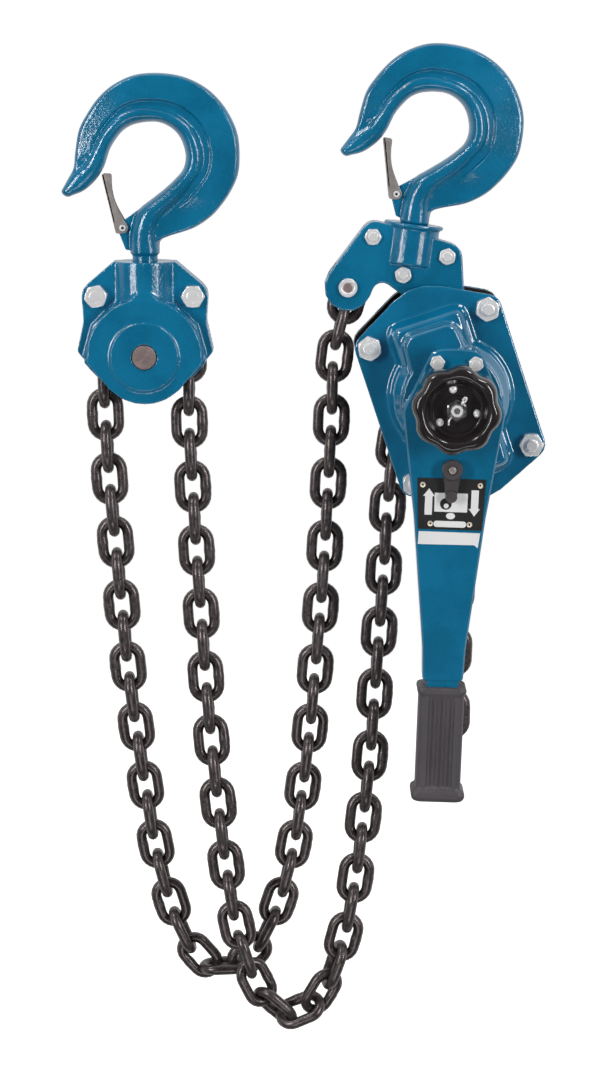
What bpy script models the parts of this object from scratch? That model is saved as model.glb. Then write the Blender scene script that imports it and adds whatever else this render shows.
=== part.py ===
"""Lever chain hoist with a two-fall load block, hanging from its top hook.

Frame: the origin is the saddle of the top hook, +X points to the right with the lever in front,
+Y away from the lever, +Z up. Sizes are in millimetres and become metres where a mesh is made.
"""

import math

import bmesh
import bpy
from mathutils import Matrix, Vector

MM = 0.001
GAP = 0.3

# Sub-assembly places: x, z and tilt in degrees about +Y.
HOOK_PLACE = (0.0, 0.0, 7.4)
HOIST_PLACE = (17.5, -272.5, -18.5)
LEVER_TILT = 1.9
BLOCK_PLACE = (-260.0, -237.0, 0.0)
BLOCK_HOOK_PLACE = (-260.0, -27.2, 0.0)

# Chain: 10 mm wire, 30 mm pitch. The plain tube has the chain's mass.
CHAIN_TUBE = 9.5
CHAIN_HALF = 17.3
PITCH_RADIUS = 39.5

# Hook forging.
HOOK_THICK = 15.0
HOOK_NECK = 11.5
HOOK_BASE = -118.5
BUTTON = (18.0, -146.0, -138.0)
LATCH_PIVOT = (-19.8, -94.7)
LATCH_PIN = 2.5

# Yoke: two cast halves bolted together.
YOKE_HALF = 16.0
YOKE_BOLTS = ((-36.0, -135.0), (33.0, -144.0), (-4.4, -165.5))
ANCHOR = (-52.3, -183.4)
YOKE_LOBE = (38.0, -187.0)
YOKE_COLLAR = (24.0, -156.0, -119.0)
ANCHOR_PIN = 6.0
PIN_RADIUS = 8.0

# Hoist body.
STAY = (56.0, 65.0)
STAY_RADIUS = 5.5
PLATE_IN = 22.0
PLATE_OUT = 27.0
COVER_SKIN = 3.0
SHAFT = 8.0
GEAR_CENTRES = 34.0
MODULE = 2.0
WHEEL_TEETH = 24
PINION_TEETH = 10

# Lever.
LEVER_FRONT = -98.0
LEVER_BACK = -70.0
LEVER_SKIN = 3.0
SELECTOR_Z = -56.0
HEAD_BOLTS = ((-17.0, 38.0), (17.0, 38.0))
GRIP = (-255.0, -361.0)

# Load block.
BLOCK_BOLTS = ((-44.0, 54.0), (44.0, 54.0))
BLOCK_FLANGE = 14.0
BLOCK_FACE = 30.0
AXLE = 11.0

for old in list(bpy.data.objects):
    bpy.data.objects.remove(old, do_unlink=True)


# ---------------------------------------------------------------- outlines

def disc(radius, x=0.0, z=0.0, count=24):
    """Points of a circle, counter-clockwise."""
    turns = (2 * math.pi * k / count for k in range(count))
    return [(x + radius * math.cos(t), z + radius * math.sin(t)) for t in turns]


def belt(circles, step=30.0):
    """Outline of a belt laid round circles (x, z, radius); a negative radius bends it inwards."""
    leans = []
    for (x1, z1, r1), (x2, z2, r2) in zip(circles, circles[1:] + circles[:1]):
        span = math.hypot(x2 - x1, z2 - z1)
        leans.append(math.atan2(z2 - z1, x2 - x1) - math.acos((r1 - r2) / span))
    points = []
    for index, (x, z, radius) in enumerate(circles):
        sweep = (leans[index] - leans[index - 1]) % (2 * math.pi)
        if radius < 0 and sweep > 0:
            sweep -= 2 * math.pi
        parts = max(1, math.ceil(abs(math.degrees(sweep)) / step))
        for k in range(parts + 1):
            turn = leans[index - 1] + sweep * k / parts
            points.append((x + radius * math.cos(turn), z + radius * math.sin(turn)))
    return points


def mirrored(circles):
    """The circles and their mirror images in x, for a belt that is the same on both sides."""
    return circles + [(-x, z, radius) for x, z, radius in reversed(circles) if abs(x) > 0.01]


def inset(outline, depth):
    """The outline moved inwards by a depth, point for point."""
    moved = []
    count = len(outline)
    for index, (x, z) in enumerate(outline):
        before = Vector(outline[index - 1])
        after = Vector(outline[(index + 1) % count])
        here = Vector((x, z))
        first = (here - before).normalized()
        second = (after - here).normalized()
        normal = Vector((-first.y - second.y, first.x + second.x)).normalized()
        stretch = max(0.5, normal.dot(Vector((-first.y, first.x))))
        moved.append(tuple(here + normal * depth / stretch))
    return moved


def hexagon(across, x=0.0, z=0.0, turn=0.0):
    """Hexagon outline from its width across flats."""
    radius = across / math.sqrt(3)
    angles = (math.radians(turn + 60 * k) for k in range(6))
    return [(x + radius * math.cos(a), z + radius * math.sin(a)) for a in angles]


def toothed(teeth, tip, root, half_tip, half_root, phase=0.0, x=0.0, z=0.0):
    """Gear outline with straight-sided teeth; the half widths are shares of one tooth's pitch."""
    points = []
    for tooth in range(teeth):
        for share, radius in ((-half_root, root), (-half_tip, tip), (half_tip, tip), (half_root, root)):
            turn = math.radians(phase) + 2 * math.pi * (tooth + share) / teeth
            points.append((x + radius * math.cos(turn), z + radius * math.sin(turn)))
    return points


def spur(teeth, phase=0.0, x=0.0):
    """Spur gear outline of the hoist's module, with running clearance."""
    middle = MODULE * teeth / 2
    return toothed(teeth, middle + 1.6, middle - 2.1, 0.10, 0.27, phase, x)


# ---------------------------------------------------------------- meshes

def tidy(mesh):
    """Weld coincident points and turn every face outwards."""
    work = bmesh.new()
    work.from_mesh(mesh)
    bmesh.ops.remove_doubles(work, verts=work.verts, dist=1e-7)
    bmesh.ops.recalc_face_normals(work, faces=work.faces)
    work.to_mesh(mesh)
    work.free()
    return mesh


def from_faces(points, faces):
    """Mesh from points in millimetres and faces."""
    mesh = bpy.data.meshes.new("solid")
    mesh.from_pydata([tuple(value * MM for value in point) for point in points], [], faces)
    return tidy(mesh)


def plate(outline, low, high, holes=()):
    """Flat plate in the XZ plane from y=low to y=high, with holes."""
    curve = bpy.data.curves.new("outline", "CURVE")
    curve.dimensions = "2D"
    curve.fill_mode = "BOTH"
    curve.extrude = (high - low) / 2 * MM
    for loop in (outline, *holes):
        spline = curve.splines.new("POLY")
        spline.points.add(len(loop) - 1)
        for point, (x, z) in zip(spline.points, loop):
            point.co = (x * MM, z * MM, 0, 1)
        spline.use_cyclic_u = True
    holder = bpy.data.objects.new("outline", curve)
    mesh = bpy.data.meshes.new_from_object(holder)
    bpy.data.objects.remove(holder)
    bpy.data.curves.remove(curve)
    upright = Matrix.Rotation(math.pi / 2, 4, "X")
    mesh.transform(Matrix.Translation((0, (low + high) / 2 * MM, 0)) @ upright)
    return tidy(mesh)


def lofted(rings):
    """Closed solid through rings of (x, y, z) points with the same count."""
    count = len(rings[0])
    points = [point for ring in rings for point in ring]
    faces = [list(range(count)), [len(points) - count + k for k in range(count)]]
    for row in range(len(rings) - 1):
        start = row * count
        for k in range(count):
            following = (k + 1) % count
            faces.append([start + k, start + following, start + count + following, start + count + k])
    return from_faces(points, faces)


def tapered(outline, *steps):
    """Solid whose outline is inset by an amount at each y: steps are (y, inset)."""
    return lofted([[(x, y, z) for x, z in inset(outline, amount)] for y, amount in steps])


def turned(profile, axis="Y", count=24, closed=False, x=0.0, z=0.0):
    """Solid of revolution from (radius, height); a closed profile leaves a bore."""
    points = []
    rings = []
    for radius, height in profile:
        if radius == 0:
            rings.append([len(points)] * count)
            points.append((0.0, 0.0, height))
            continue
        rings.append(list(range(len(points), len(points) + count)))
        points.extend((a, b, height) for a, b in disc(radius, count=count))
    if axis == "Y":
        points = [(a + x, height, b + z) for a, b, height in points]
    elif axis == "X":
        points = [(height + x, a, b + z) for a, b, height in points]
    else:
        points = [(a + x, b, height + z) for a, b, height in points]
    faces = []
    pairs = list(zip(rings, rings[1:] + rings[:1])) if closed else list(zip(rings, rings[1:]))
    for lower, upper in pairs:
        for k in range(count):
            following = (k + 1) % count
            face = [lower[k], lower[following], upper[following], upper[k]]
            faces.append(list(dict.fromkeys(face)))
    return from_faces(points, faces)


def block(low, high):
    """Box between two corners."""
    corners = [(x, y, z) for x in (low[0], high[0]) for y in (low[1], high[1]) for z in (low[2], high[2])]
    faces = [[0, 1, 3, 2], [4, 5, 7, 6], [0, 1, 5, 4], [2, 3, 7, 6], [0, 2, 6, 4], [1, 3, 7, 5]]
    return from_faces(corners, faces)


def rod(radius, low, high, x=0.0, z=0.0, count=16):
    """Round bar along Y."""
    return turned([(0, low), (radius, low), (radius, high), (0, high)], "Y", count, x=x, z=z)


# ---------------------------------------------------------------- objects

def finish(name, color, roughness, metallic=0.0):
    """Principled material."""
    material = bpy.data.materials.new(name)
    material.use_nodes = True
    shader = material.node_tree.nodes["Principled BSDF"]
    shader.inputs["Base Color"].default_value = (*color, 1.0)
    shader.inputs["Roughness"].default_value = roughness
    shader.inputs["Metallic"].default_value = metallic
    return material


PAINT = finish("blue_paint", (0.004, 0.135, 0.245), 0.28)
BLACK = finish("black_steel", (0.02, 0.019, 0.02), 0.3)
CHAIN_STEEL = finish("chain_steel", (0.055, 0.05, 0.05), 0.42, 0.8)
ZINC = finish("zinc_plate", (0.72, 0.72, 0.74), 0.3, 1.0)
STEEL = finish("machined_steel", (0.42, 0.42, 0.43), 0.35, 1.0)
LATCH_STEEL = finish("latch_steel", (0.3, 0.28, 0.27), 0.45, 0.9)
RUBBER = finish("grip_rubber", (0.035, 0.033, 0.035), 0.6)
LINING = finish("brake_lining", (0.18, 0.1, 0.06), 0.8)


def axis_frame(name, x, z, tilt=0.0):
    """Empty that carries a sub-assembly and stands on its axis."""
    empty = bpy.data.objects.new(name, None)
    empty.location = (x * MM, 0, z * MM)
    empty.rotation_euler = (0, math.radians(tilt), 0)
    bpy.context.scene.collection.objects.link(empty)
    return empty


def solid(name, mesh, parent, material):
    """One named piece."""
    piece = bpy.data.objects.new(name, mesh)
    mesh.materials.clear()
    mesh.materials.append(material)
    mesh.shade_smooth()
    mesh.set_sharp_from_angle(angle=math.radians(35))
    piece.parent = parent
    bpy.context.scene.collection.objects.link(piece)
    return piece


def shape(piece, operation, *meshes):
    """Join meshes to a piece, or cut them from it, with hidden helpers."""
    for index, mesh in enumerate(meshes):
        helper = bpy.data.objects.new(f"{piece.name}_{operation.lower()}_{index}", mesh)
        helper.parent = piece.parent
        helper.hide_render = True
        helper.display_type = "WIRE"
        bpy.context.scene.collection.objects.link(helper)
        modifier = piece.modifiers.new(helper.name, "BOOLEAN")
        modifier.operation = operation
        modifier.solver = "EXACT"
        modifier.object = helper


def joined(name, parent, material, first, *others):
    """Piece made of overlapping shapes."""
    piece = solid(name, first, parent, material)
    shape(piece, "UNION", *others)
    return piece


def bolt(name, parent, x, z, head, tip, radius, across, nut=None, turn=0.0):
    """Hexagon bolt along Y: head and nut are (low, high), tip is where the shank ends."""
    shank_start = (head[0] + head[1]) / 2
    low, high = sorted((shank_start, tip))
    shapes = [plate(hexagon(across, x, z, turn), *head), rod(radius, low, high, x, z, 12)]
    if nut:
        shapes.append(plate(hexagon(across, x, z, turn + 15), *nut))
    return joined(name, parent, ZINC, *shapes)


# ---------------------------------------------------------------- chain

ANCHOR_ROUTE = (
    (-79, 0, -199), (-88, 0, -239), (-90, 0, -298), (-93, 0, -358), (-96, 0, -417), (-100, 0, -476),
    (-105, 2, -536), (-110, 8, -596), (-117, 14, -656), (-126, 18, -716), (-141, 19, -772),
    (-159, 19, -810), (-176, 19, -829), (-196, 19, -836), (-217, 19, -821), (-231, 19, -797),
    (-242, 19, -769), (-256, 18, -714), (-265, 14, -654), (-273, 7, -593), (-280, 2, -532),
    (-285, 0, -472), (-290, 0, -413), (-295, 0, -353), (-298, 0, -293), (-299.5, 0, -241.5),
)
HOIST_ROUTE = (
    (-220.5, 0, -241.5), (-221, 0, -302), (-218, 0, -362), (-215, 0, -422), (-211, 0, -482),
    (-207, -3, -541), (-202, -9, -599), (-196, -15, -657), (-189, -19, -715), (-180, -19, -773),
    (-168, -19, -817), (-150, -19, -852), (-127, -19, -868), (-106, -19, -856), (-92, -19, -832),
    (-76, -19, -783), (-66, -19, -726), (-59, -16, -668), (-53, -10, -611), (-49, -4, -553),
    (-45, 0, -496), (-41, 0, -436), (-38, 0, -378), (-32, 0, -320), (-22.4, 0, -268),
)
FREE_ROUTE = (
    (56.4, 0, -266), (55.5, 0, -286), (50, 0, -305), (40, 0, -327), (32, 0, -352),
    (29, 0, -400), (27, 0, -460), (25, 0, -520), (24, 0, -560), (24, 0, -588),
)


def smooth(route, spacing=45.0):
    """Points of a Catmull-Rom curve through a route, about one spacing apart."""
    knots = [Vector(point) for point in route]
    knots = [2 * knots[0] - knots[1], *knots, 2 * knots[-1] - knots[-2]]
    fine = []
    for a, b, c, d in zip(knots, knots[1:], knots[2:], knots[3:]):
        for k in range(16):
            t = k / 16
            fine.append(0.5 * (2 * b + (c - a) * t + (2 * a - 5 * b + 4 * c - d) * t * t
                               + (3 * b - a - 3 * c + d) * t ** 3))
    fine.append(knots[-2])
    lengths = [0.0]
    for a, b in zip(fine, fine[1:]):
        lengths.append(lengths[-1] + (b - a).length)
    count = max(2, round(lengths[-1] / spacing))
    points = []
    at = 0
    for k in range(count + 1):
        wanted = lengths[-1] * k / count
        while at < len(fine) - 2 and lengths[at + 1] < wanted:
            at += 1
        share = (wanted - lengths[at]) / (lengths[at + 1] - lengths[at])
        points.append(fine[at].lerp(fine[at + 1], share))
    return points


def wrap(centre, first, last, parts):
    """Points of the chain's arc over a sheave, from one angle to another in degrees."""
    turns = (math.radians(first + (last - first) * k / parts) for k in range(parts + 1))
    return [Vector((centre[0] + PITCH_RADIUS * math.cos(t), 0, centre[1] + PITCH_RADIUS * math.sin(t)))
            for t in turns]


def chain_tube(name, points):
    """Plain tube with the chain's mass."""
    curve = bpy.data.curves.new(name, "CURVE")
    curve.dimensions = "3D"
    curve.bevel_depth = CHAIN_TUBE * MM
    curve.bevel_resolution = 2
    curve.use_fill_caps = True
    spline = curve.splines.new("POLY")
    spline.points.add(len(points) - 1)
    for knot, point in zip(spline.points, points):
        knot.co = (*(Vector(point) * MM), 1)
    curve.materials.append(CHAIN_STEEL)
    tube = bpy.data.objects.new(name, curve)
    bpy.context.scene.collection.objects.link(tube)


def make_chain():
    """The four stretches of load chain and the stop ring on its free end."""
    chain_tube("chain_anchor_run", smooth(ANCHOR_ROUTE))
    chain_tube("chain_block_wrap", wrap(BLOCK_PLACE, 184.0, -4.0, 14))
    chain_tube("chain_hoist_run", smooth(HOIST_ROUTE))
    over = wrap(HOIST_PLACE, 162.0, 10.0, 12)
    chain_tube("chain_free_run", over[:-1] + smooth(FREE_ROUTE, 26.0))
    ring = axis_frame("stop_ring_centre", 24.0, -611.0)
    profile = disc(4, 17, 0, 6)
    solid("chain_stop_ring", turned(profile, "X", 16, closed=True), ring, ZINC)


# ---------------------------------------------------------------- hooks

# Inner and outer edge of the hook's body from the shank round to the nose, as (x, z) pairs.
HOOK_EDGES = (
    ((-13.4, HOOK_BASE), (13.4, HOOK_BASE)), ((-13.4, -108), (14.3, -107)),
    ((-12.0, -94), (22, -102.5)), ((-6, -79), (44, -95.3)), ((7, -68.3), (59.3, -85.6)),
    ((18, -59.7), (69, -75.5)), ((27.5, -51), (78.2, -62.3)), ((35, -42), (84.9, -47.2)),
    ((37.5, -31), (86.6, -30.6)), ((35, -19), (85.1, -12)), ((29.5, -9.5), (79, 4)),
    ((21, -3), (69, 19)), ((12, 0), (55, 31.5)), ((3, 0), (36, 40.5)), ((-4, -1), (14, 43.8)),
    ((-11, -3), (-8, 42)), ((-18.5, -7.5), (-27, 33.5)), ((-25, -15), (-41, 21.5)),
    ((-30.5, -24), (-52, 6)), ((-33.5, -32.5), (-59, -8)), ((-36.5, -40.5), (-62.3, -27)),
    ((-43.5, -51.5), (-64, -41)), ((-54.5, -61.2), (-69.3, -51)), ((-66, -66), (-74, -59.3)),
)
# Section across a hook: share of the way from the inner to the outer edge, share of the thickness.
HOOK_SECTION = ((0.0, 0.35), (0.05, 0.65), (0.15, 0.95), (0.38, 1.0), (0.52, 0.74), (0.9, 0.7), (1.0, 0.3))


def hook_rings():
    """Sections of the hook's body; the shank is round and the nose is thin."""
    rings = []
    last = len(HOOK_EDGES) - 1
    for index, ((x1, z1), (x2, z2)) in enumerate(HOOK_EDGES):
        nose = max(0.0, (index - 14) / (last - 14))
        half = HOOK_THICK * (1 - 0.6 * nose ** 1.6)
        round_share = max(0.0, 1 - index / 3)
        upper = []
        for share, thick in HOOK_SECTION:
            circle = math.sqrt(max(0.0, 1 - (2 * share - 1) ** 2))
            depth = (thick * (1 - round_share) + circle * round_share) * half
            if index < 3:
                depth = min(depth, 13.4)
            upper.append((x1 + (x2 - x1) * share, depth, z1 + (z2 - z1) * share))
        lower = [(x, -y, z) for x, y, z in reversed(upper)]
        rings.append(upper + lower)
    return rings


def make_hook(prefix, place):
    """Forged hook on its swivel axis, with a sprung latch on a pin."""
    swivel = axis_frame(f"{prefix}_hook_swivel", *place)
    lug = belt([(*LATCH_PIVOT, 5.2), (-15.6, -112.5, 2.5), (-8, -108, 3), (4, -74, 2)])
    radius, low, high = BUTTON
    shank = turned([(0, low), (radius, low), (radius, high), (HOOK_NECK, high),
                    (HOOK_NECK, HOOK_BASE + 4), (0, HOOK_BASE + 4)], "Z", 28)
    joined(f"{prefix}_hook", swivel, PAINT, lofted(hook_rings()), shank, plate(lug, -4.2, 4.2))
    shape(bpy.data.objects[f"{prefix}_hook"], "DIFFERENCE",
          rod(LATCH_PIN + GAP, -20, 20, *LATCH_PIVOT, 14))
    tongue = belt([(-24, -97.4, 2.4), (*LATCH_PIVOT, 4.8), (20.2, -54, -50), (-31.7, -48, 1.8),
                   (-36.5, -47.6, 1.6)])
    latch = solid(f"{prefix}_latch", plate(tongue, -7.5, 7.5), swivel, LATCH_STEEL)
    shape(latch, "DIFFERENCE", block((-40, -4.7, -110), (0, 4.7, -66)),
          rod(LATCH_PIN + GAP, -20, 20, *LATCH_PIVOT, 14))
    solid(f"{prefix}_latch_pin", rod(LATCH_PIN, -8.6, 8.6, *LATCH_PIVOT, 14), swivel, ZINC)


# ---------------------------------------------------------------- yoke

def make_yoke():
    """Two cast halves that hold the hook's button, the chain anchor and the body's top pin."""
    frame = axis_frame("yoke_frame", *HOOK_PLACE)
    outline = belt([(*YOKE_LOBE, 17.0), (34, -145, 13), (-34, -134, 13), (*ANCHOR, 21.5),
                    (-21, -184, -9)])
    radius, low, high = YOKE_COLLAR
    collar = [(0, low), (radius, low), (radius, high - 4), (radius + 3, high - 3),
              (radius + 3, high), (0, high)]
    hollow = [(0, -148), (19, -148), (19, -137), (HOOK_NECK + 0.7, -137),
              (HOOK_NECK + 0.7, -110), (0, -110)]
    for name, side in (("yoke_front_half", -1), ("yoke_rear_half", 1)):
        faces = sorted((-2 * side, YOKE_HALF * side))
        boss = sorted((15.5 * side, 21.4 * side))
        half = joined(name, frame, PAINT, plate(outline, *faces), turned(collar, "Z", 28),
                      plate(disc(15, *YOKE_LOBE, 20), *boss))
        far = sorted((0.2 * side, -40 * side))
        shape(half, "DIFFERENCE", block((-90, far[0], -220), (90, far[1], -100)),
              turned(hollow, "Z", 20),
              block((ANCHOR[0] - 19, -6.3, -230), (ANCHOR[0] + 19, 6.3, ANCHOR[1] + 19)),
              rod(ANCHOR_PIN + GAP, -40, 40, *ANCHOR), rod(PIN_RADIUS + GAP, -40, 40, *YOKE_LOBE),
              *(rod(5 + GAP, -40, 40, x, z, 12) for x, z in YOKE_BOLTS))
    for index, (x, z) in enumerate(YOKE_BOLTS):
        bolt(f"yoke_bolt_{index + 1}", frame, x, z, (-21.8, -16.3), 20, 5, 14, (16.3, 21.8), 20 * index)
    pin = [(0, -20.5), (4.5, -20.5), (5.2, -20), (8.6, -20), (8.6, -16.3), (ANCHOR_PIN, -16.3),
           (ANCHOR_PIN, 16.3), (8.6, 16.3), (8.6, 20), (0, 20)]
    solid("chain_anchor_pin", turned(pin, "Y", 16, x=ANCHOR[0], z=ANCHOR[1]), frame, ZINC)


# ---------------------------------------------------------------- load block

def make_block():
    """Two cast halves round a pocketed sheave, with the load hook's button between them."""
    frame = axis_frame("block_axle_centre", *BLOCK_PLACE)
    flange = belt(mirrored([(0, 0, 43), (31, -29, 1), (52.5, -5, 2), (60.5, 4, 1.5), (66, 32, -10),
                            (44, 54, 13.5), (28, 84, 1)]))
    face = belt([(0, 0, 43), (31, -29, 1), (50.5, -5, 1.5), (0, 0, 52), (-50.5, -5, 1.5), (-31, -29, 1)])
    drum = belt([(0, 0, 44), (34.5, -28, 1), (53.5, -6, 1.5), (0, 0, 55), (-53.5, -6, 1.5), (-34.5, -28, 1)])
    collar = [(0, 50), (29, 50), (29, 85), (0, 85)]
    neck = 209.8
    hollow = [(0, neck - 148), (19, neck - 148), (19, neck - 137), (HOOK_NECK + 0.7, neck - 137),
              (HOOK_NECK + 0.7, 95), (0, 95)]
    cavity = [(0, -21.3), (46, -21.3), (46, -10.3), (50.2, -10.3), (50.2, -6.8), (58, -6.8), (58, 6.8),
              (50.2, 6.8), (50.2, 10.3), (46, 10.3), (46, 21.3), (0, 21.3)]
    for name, side in (("block_front_half", -1), ("block_rear_half", 1)):
        low, high = sorted((-2 * side, BLOCK_FLANGE * side))
        near, far = sorted((13.5 * side, BLOCK_FACE * side))
        half = joined(name, frame, PAINT, plate(flange, low, high), plate(face, near, far),
                      plate(drum, *sorted((13.2 * side, 21 * side))),
                      turned(collar, "Z", 28), plate(disc(31), *sorted((29 * side, 32 * side))))
        other = sorted((0.2 * side, -60 * side))
        shape(half, "DIFFERENCE", block((-90, other[0], -80), (90, other[1], 120)), turned(cavity, "Y", 28),
              *(block((x - 6.5, -18, -70), (x + 6.5, 18, 3)) for x in (-PITCH_RADIUS, PITCH_RADIUS)),
              *(block((x - 18, -10, -70), (x + 18, 10, 3)) for x in (-PITCH_RADIUS, PITCH_RADIUS)),
              turned(hollow, "Z", 20), rod(AXLE + GAP, -60, 60, count=20),
              *(rod(6.5 + GAP, -60, 60, x, z, 12) for x, z in BLOCK_BOLTS))
    for name, (x, z) in zip(("block_bolt_left", "block_bolt_right"), BLOCK_BOLTS):
        bolt(name, frame, x, z, (-23, -14.3), 25, 6.5, 19, (14.3, 23), 4)
    solid("block_axle", rod(AXLE, -33.5, 33.5, count=20), frame, BLACK)
    make_sheave("block_sheave", frame, 41.5, AXLE + 0.4, ())


def make_sheave(name, frame, flange, bore, ends):
    """Pocketed chain sheave: groove, four pairs of lugs and two flanges; ends add journals."""
    profile = [(bore, -20.7), (flange, -20.7), (flange, -CHAIN_HALF), (33, -CHAIN_HALF), (33, -10.3),
               (29, -10.3), (29, 10.3), (33, 10.3), (33, CHAIN_HALF), (flange, CHAIN_HALF), (flange, 20.7),
               (bore, 20.7)]
    if ends:
        profile = [(bore, -26.6), (17, -26.6), (17, -20.7), *profile[1:-1], *ends]
    lugs = toothed(4, 40.5, 32.4, 0.07, 0.12, 45)
    hole = disc(31.5, count=24)
    joined(name, frame, STEEL, turned(profile, "Y", 24, closed=True),
           plate(lugs, -18.5, -10.4, [hole]), plate(lugs, 10.4, 18.5, [hole]))


# ---------------------------------------------------------------- hoist body

BODY = belt([(STAY[0], STAY[1], 13.5), (0, 58, 46), (-STAY[0], STAY[1], 13.5), (-STAY[0], -STAY[1], 13.5),
             (0, -56, 44), (STAY[0], -STAY[1], 13.5)], 24)
STAYS = [(x, z) for z in (STAY[1], -STAY[1]) for x in (STAY[0], -STAY[0])]


def pin_in_body():
    """The yoke's lobe, which takes the top pin, in the body's own frame."""
    yoke = math.radians(HOOK_PLACE[2])
    body = math.radians(HOIST_PLACE[2])
    x = HOOK_PLACE[0] + YOKE_LOBE[0] * math.cos(yoke) + YOKE_LOBE[1] * math.sin(yoke) - HOIST_PLACE[0]
    z = HOOK_PLACE[1] + YOKE_LOBE[1] * math.cos(yoke) - YOKE_LOBE[0] * math.sin(yoke) - HOIST_PLACE[1]
    return x * math.cos(body) - z * math.sin(body), x * math.sin(body) + z * math.cos(body)


def make_plates(frame):
    """Side plates, stay bolts, top pin, guide rollers and chain stripper."""
    pin = pin_in_body()
    outline = inset(BODY, 0.8)
    bolt_holes = [disc(STAY_RADIUS + 0.4, x, z, 12) for x, z in STAYS]
    holes = bolt_holes + [disc(PIN_RADIUS + 0.4, *pin, 16), disc(17.4)]
    idlers = [disc(5.4, x, 0, 12) for x in (-GEAR_CENTRES, GEAR_CENTRES)]
    front = solid("front_side_plate", plate(outline, -PLATE_OUT, -PLATE_IN, holes), frame, BLACK)
    shape(front, "UNION", *(rod(4, -46.5, -26, x, z, 12) for x, z in PAWL_PIVOTS))
    solid("rear_side_plate", plate(outline, PLATE_IN, PLATE_OUT, holes + idlers), frame, BLACK)
    for index, (x, z) in enumerate(STAYS):
        turn = 10 + 17 * index
        bolt(f"stay_bolt_{index + 1}", frame, x, z, (30.6, 38.6), -43, STAY_RADIUS, 19, None, turn)
        nut = plate(hexagon(20, x, z, 21 * index), -39, -30.4, [disc(STAY_RADIUS + 0.4, x, z, 12)])
        solid(f"cover_nut_{index + 1}", nut, frame, ZINC)
    solid("top_pin", rod(PIN_RADIUS, -26.9, 26.9, *pin), frame, STEEL)
    for name, (x, z) in (("guide_roller_left", (-52, 34.5)), ("guide_roller_right", (18.4, -74.2))):
        roller = [(0, -21.6), (3, -21.6), (3, -20.5), (5.2, -20.5), (5.2, 20.5), (3, 20.5),
                  (3, 21.6), (0, 21.6)]
        solid(name, turned(roller, "Y", 14, x=x, z=z), frame, STEEL)
    lean = math.radians(-130)
    across = (-math.sin(lean), math.cos(lean))

    def radial(distance, side):
        """Point at a distance from the sheave's axis, off to one side of the stripper."""
        return distance * math.cos(lean) + side * across[0], distance * math.sin(lean) + side * across[1]

    finger = [radial(30.5, -4), radial(30.5, 4), radial(66, 7), radial(66, -7)]
    foot = [radial(55, -7), radial(55, 7), radial(70, 7), radial(70, -7)]
    joined("chain_stripper", frame, STEEL, plate(finger, -7.5, 7.5), plate(foot, -21.6, 21.6))


def rounded_base():
    """Outlines of the raised parts of the brake cover: round drum, upright hump and upper hump."""
    drum = disc(57.5, count=32)
    hump = belt([(26, 68, 12), (-26, 68, 12), (-26, -66, 12), (26, -66, 12)])
    upper = belt([(14, 57, 13), (-16, 57, 13), (-20, -10, 14), (20, -10, 14)])
    return drum, hump, upper


def make_covers(frame):
    """Pressed brake cover in front and gear cover behind, both open to the side plates."""
    drum, hump, upper = rounded_base()
    edge = PLATE_OUT + GAP
    bolt_holes = [disc(STAY_RADIUS + 0.4, x, z, 12) for x, z in STAYS]
    cover = joined("brake_cover", frame, PAINT, plate(BODY, -edge - COVER_SKIN, -edge, bolt_holes),
                   tapered(drum, (-edge - 1, 0), (-47, 5), (-55, 11.5), (-66, 13)),
                   tapered(hump, (-edge - 1.2, 0), (-45, 5), (-49, 9)),
                   tapered(upper, (-edge - 1.4, 0), (-62, 2), (-66, 5)))
    shape(cover, "DIFFERENCE",
          tapered(inset(drum, COVER_SKIN), (-edge + 5, 0), (-45, 5), (-53, 11), (-63, 12)),
          tapered(inset(hump, COVER_SKIN), (-edge + 5, 0), (-42, 5), (-46, 8)),
          rod(19.5, -80, -50, count=28))
    back = belt([(33.5, 0, 34.5), (0, 22, 38), (-33.5, 0, 34.5), (0, -22, 38)], 20)
    cap = joined("gear_cover", frame, PAINT, plate(BODY, edge, edge + COVER_SKIN, bolt_holes),
                 tapered(back, (edge + 1, 0), (48, 2), (54, 5), (57, 11)),
                 turned([(0, 50), (16, 50), (16, 61), (13, 64), (0, 64)], "Y", 20))
    shape(cap, "DIFFERENCE",
          tapered(inset(back, COVER_SKIN), (edge - 5, 0), (47, 1.5), (52, 4.5), (54, 8)),
          rod(8.5, 40, 61.5))


PAWL_PIVOTS = ((39.5, 14.0), (-39.5, -14.0))
RATCHET_TEETH = 18


def ratchet_outline():
    """Saw-toothed outline: each tooth falls radially and climbs back over its pitch."""
    points = []
    for tooth in range(RATCHET_TEETH):
        for share, radius in ((0.0, 30.0), (0.03, 26.5), (0.9, 30.0)):
            turn = 2 * math.pi * (tooth + share) / RATCHET_TEETH
            points.append((radius * math.cos(turn), radius * math.sin(turn)))
    return points


def make_brake(frame):
    """Load brake: hub, two linings, ratchet disc and two pawls on their studs."""
    bore = disc(SHAFT + 9.6)
    solid("brake_hub", plate(disc(25), -36, -31, [disc(SHAFT + 0.4, count=20)]), frame, STEEL)
    solid("brake_lining_inner", plate(disc(24.5), -39, -36.3, [bore]), frame, LINING)
    solid("ratchet_disc", plate(ratchet_outline(), -45.3, -39.3, [bore]), frame, STEEL)
    solid("brake_lining_outer", plate(disc(24.5), -48.3, -45.6, [bore]), frame, LINING)
    reach = math.radians(360 / RATCHET_TEETH * 17 + 5)
    for name, (x, z), side in zip(("brake_pawl_right", "brake_pawl_left"), PAWL_PIVOTS, (1, -1)):
        outline = belt([(x, z, 6.5), (side * 31.8 * math.cos(reach), side * 31.8 * math.sin(reach), 1.2)])
        solid(name, plate(outline, -45, -39.6, [disc(4.4, x, z, 14)]), frame, STEEL)


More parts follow.
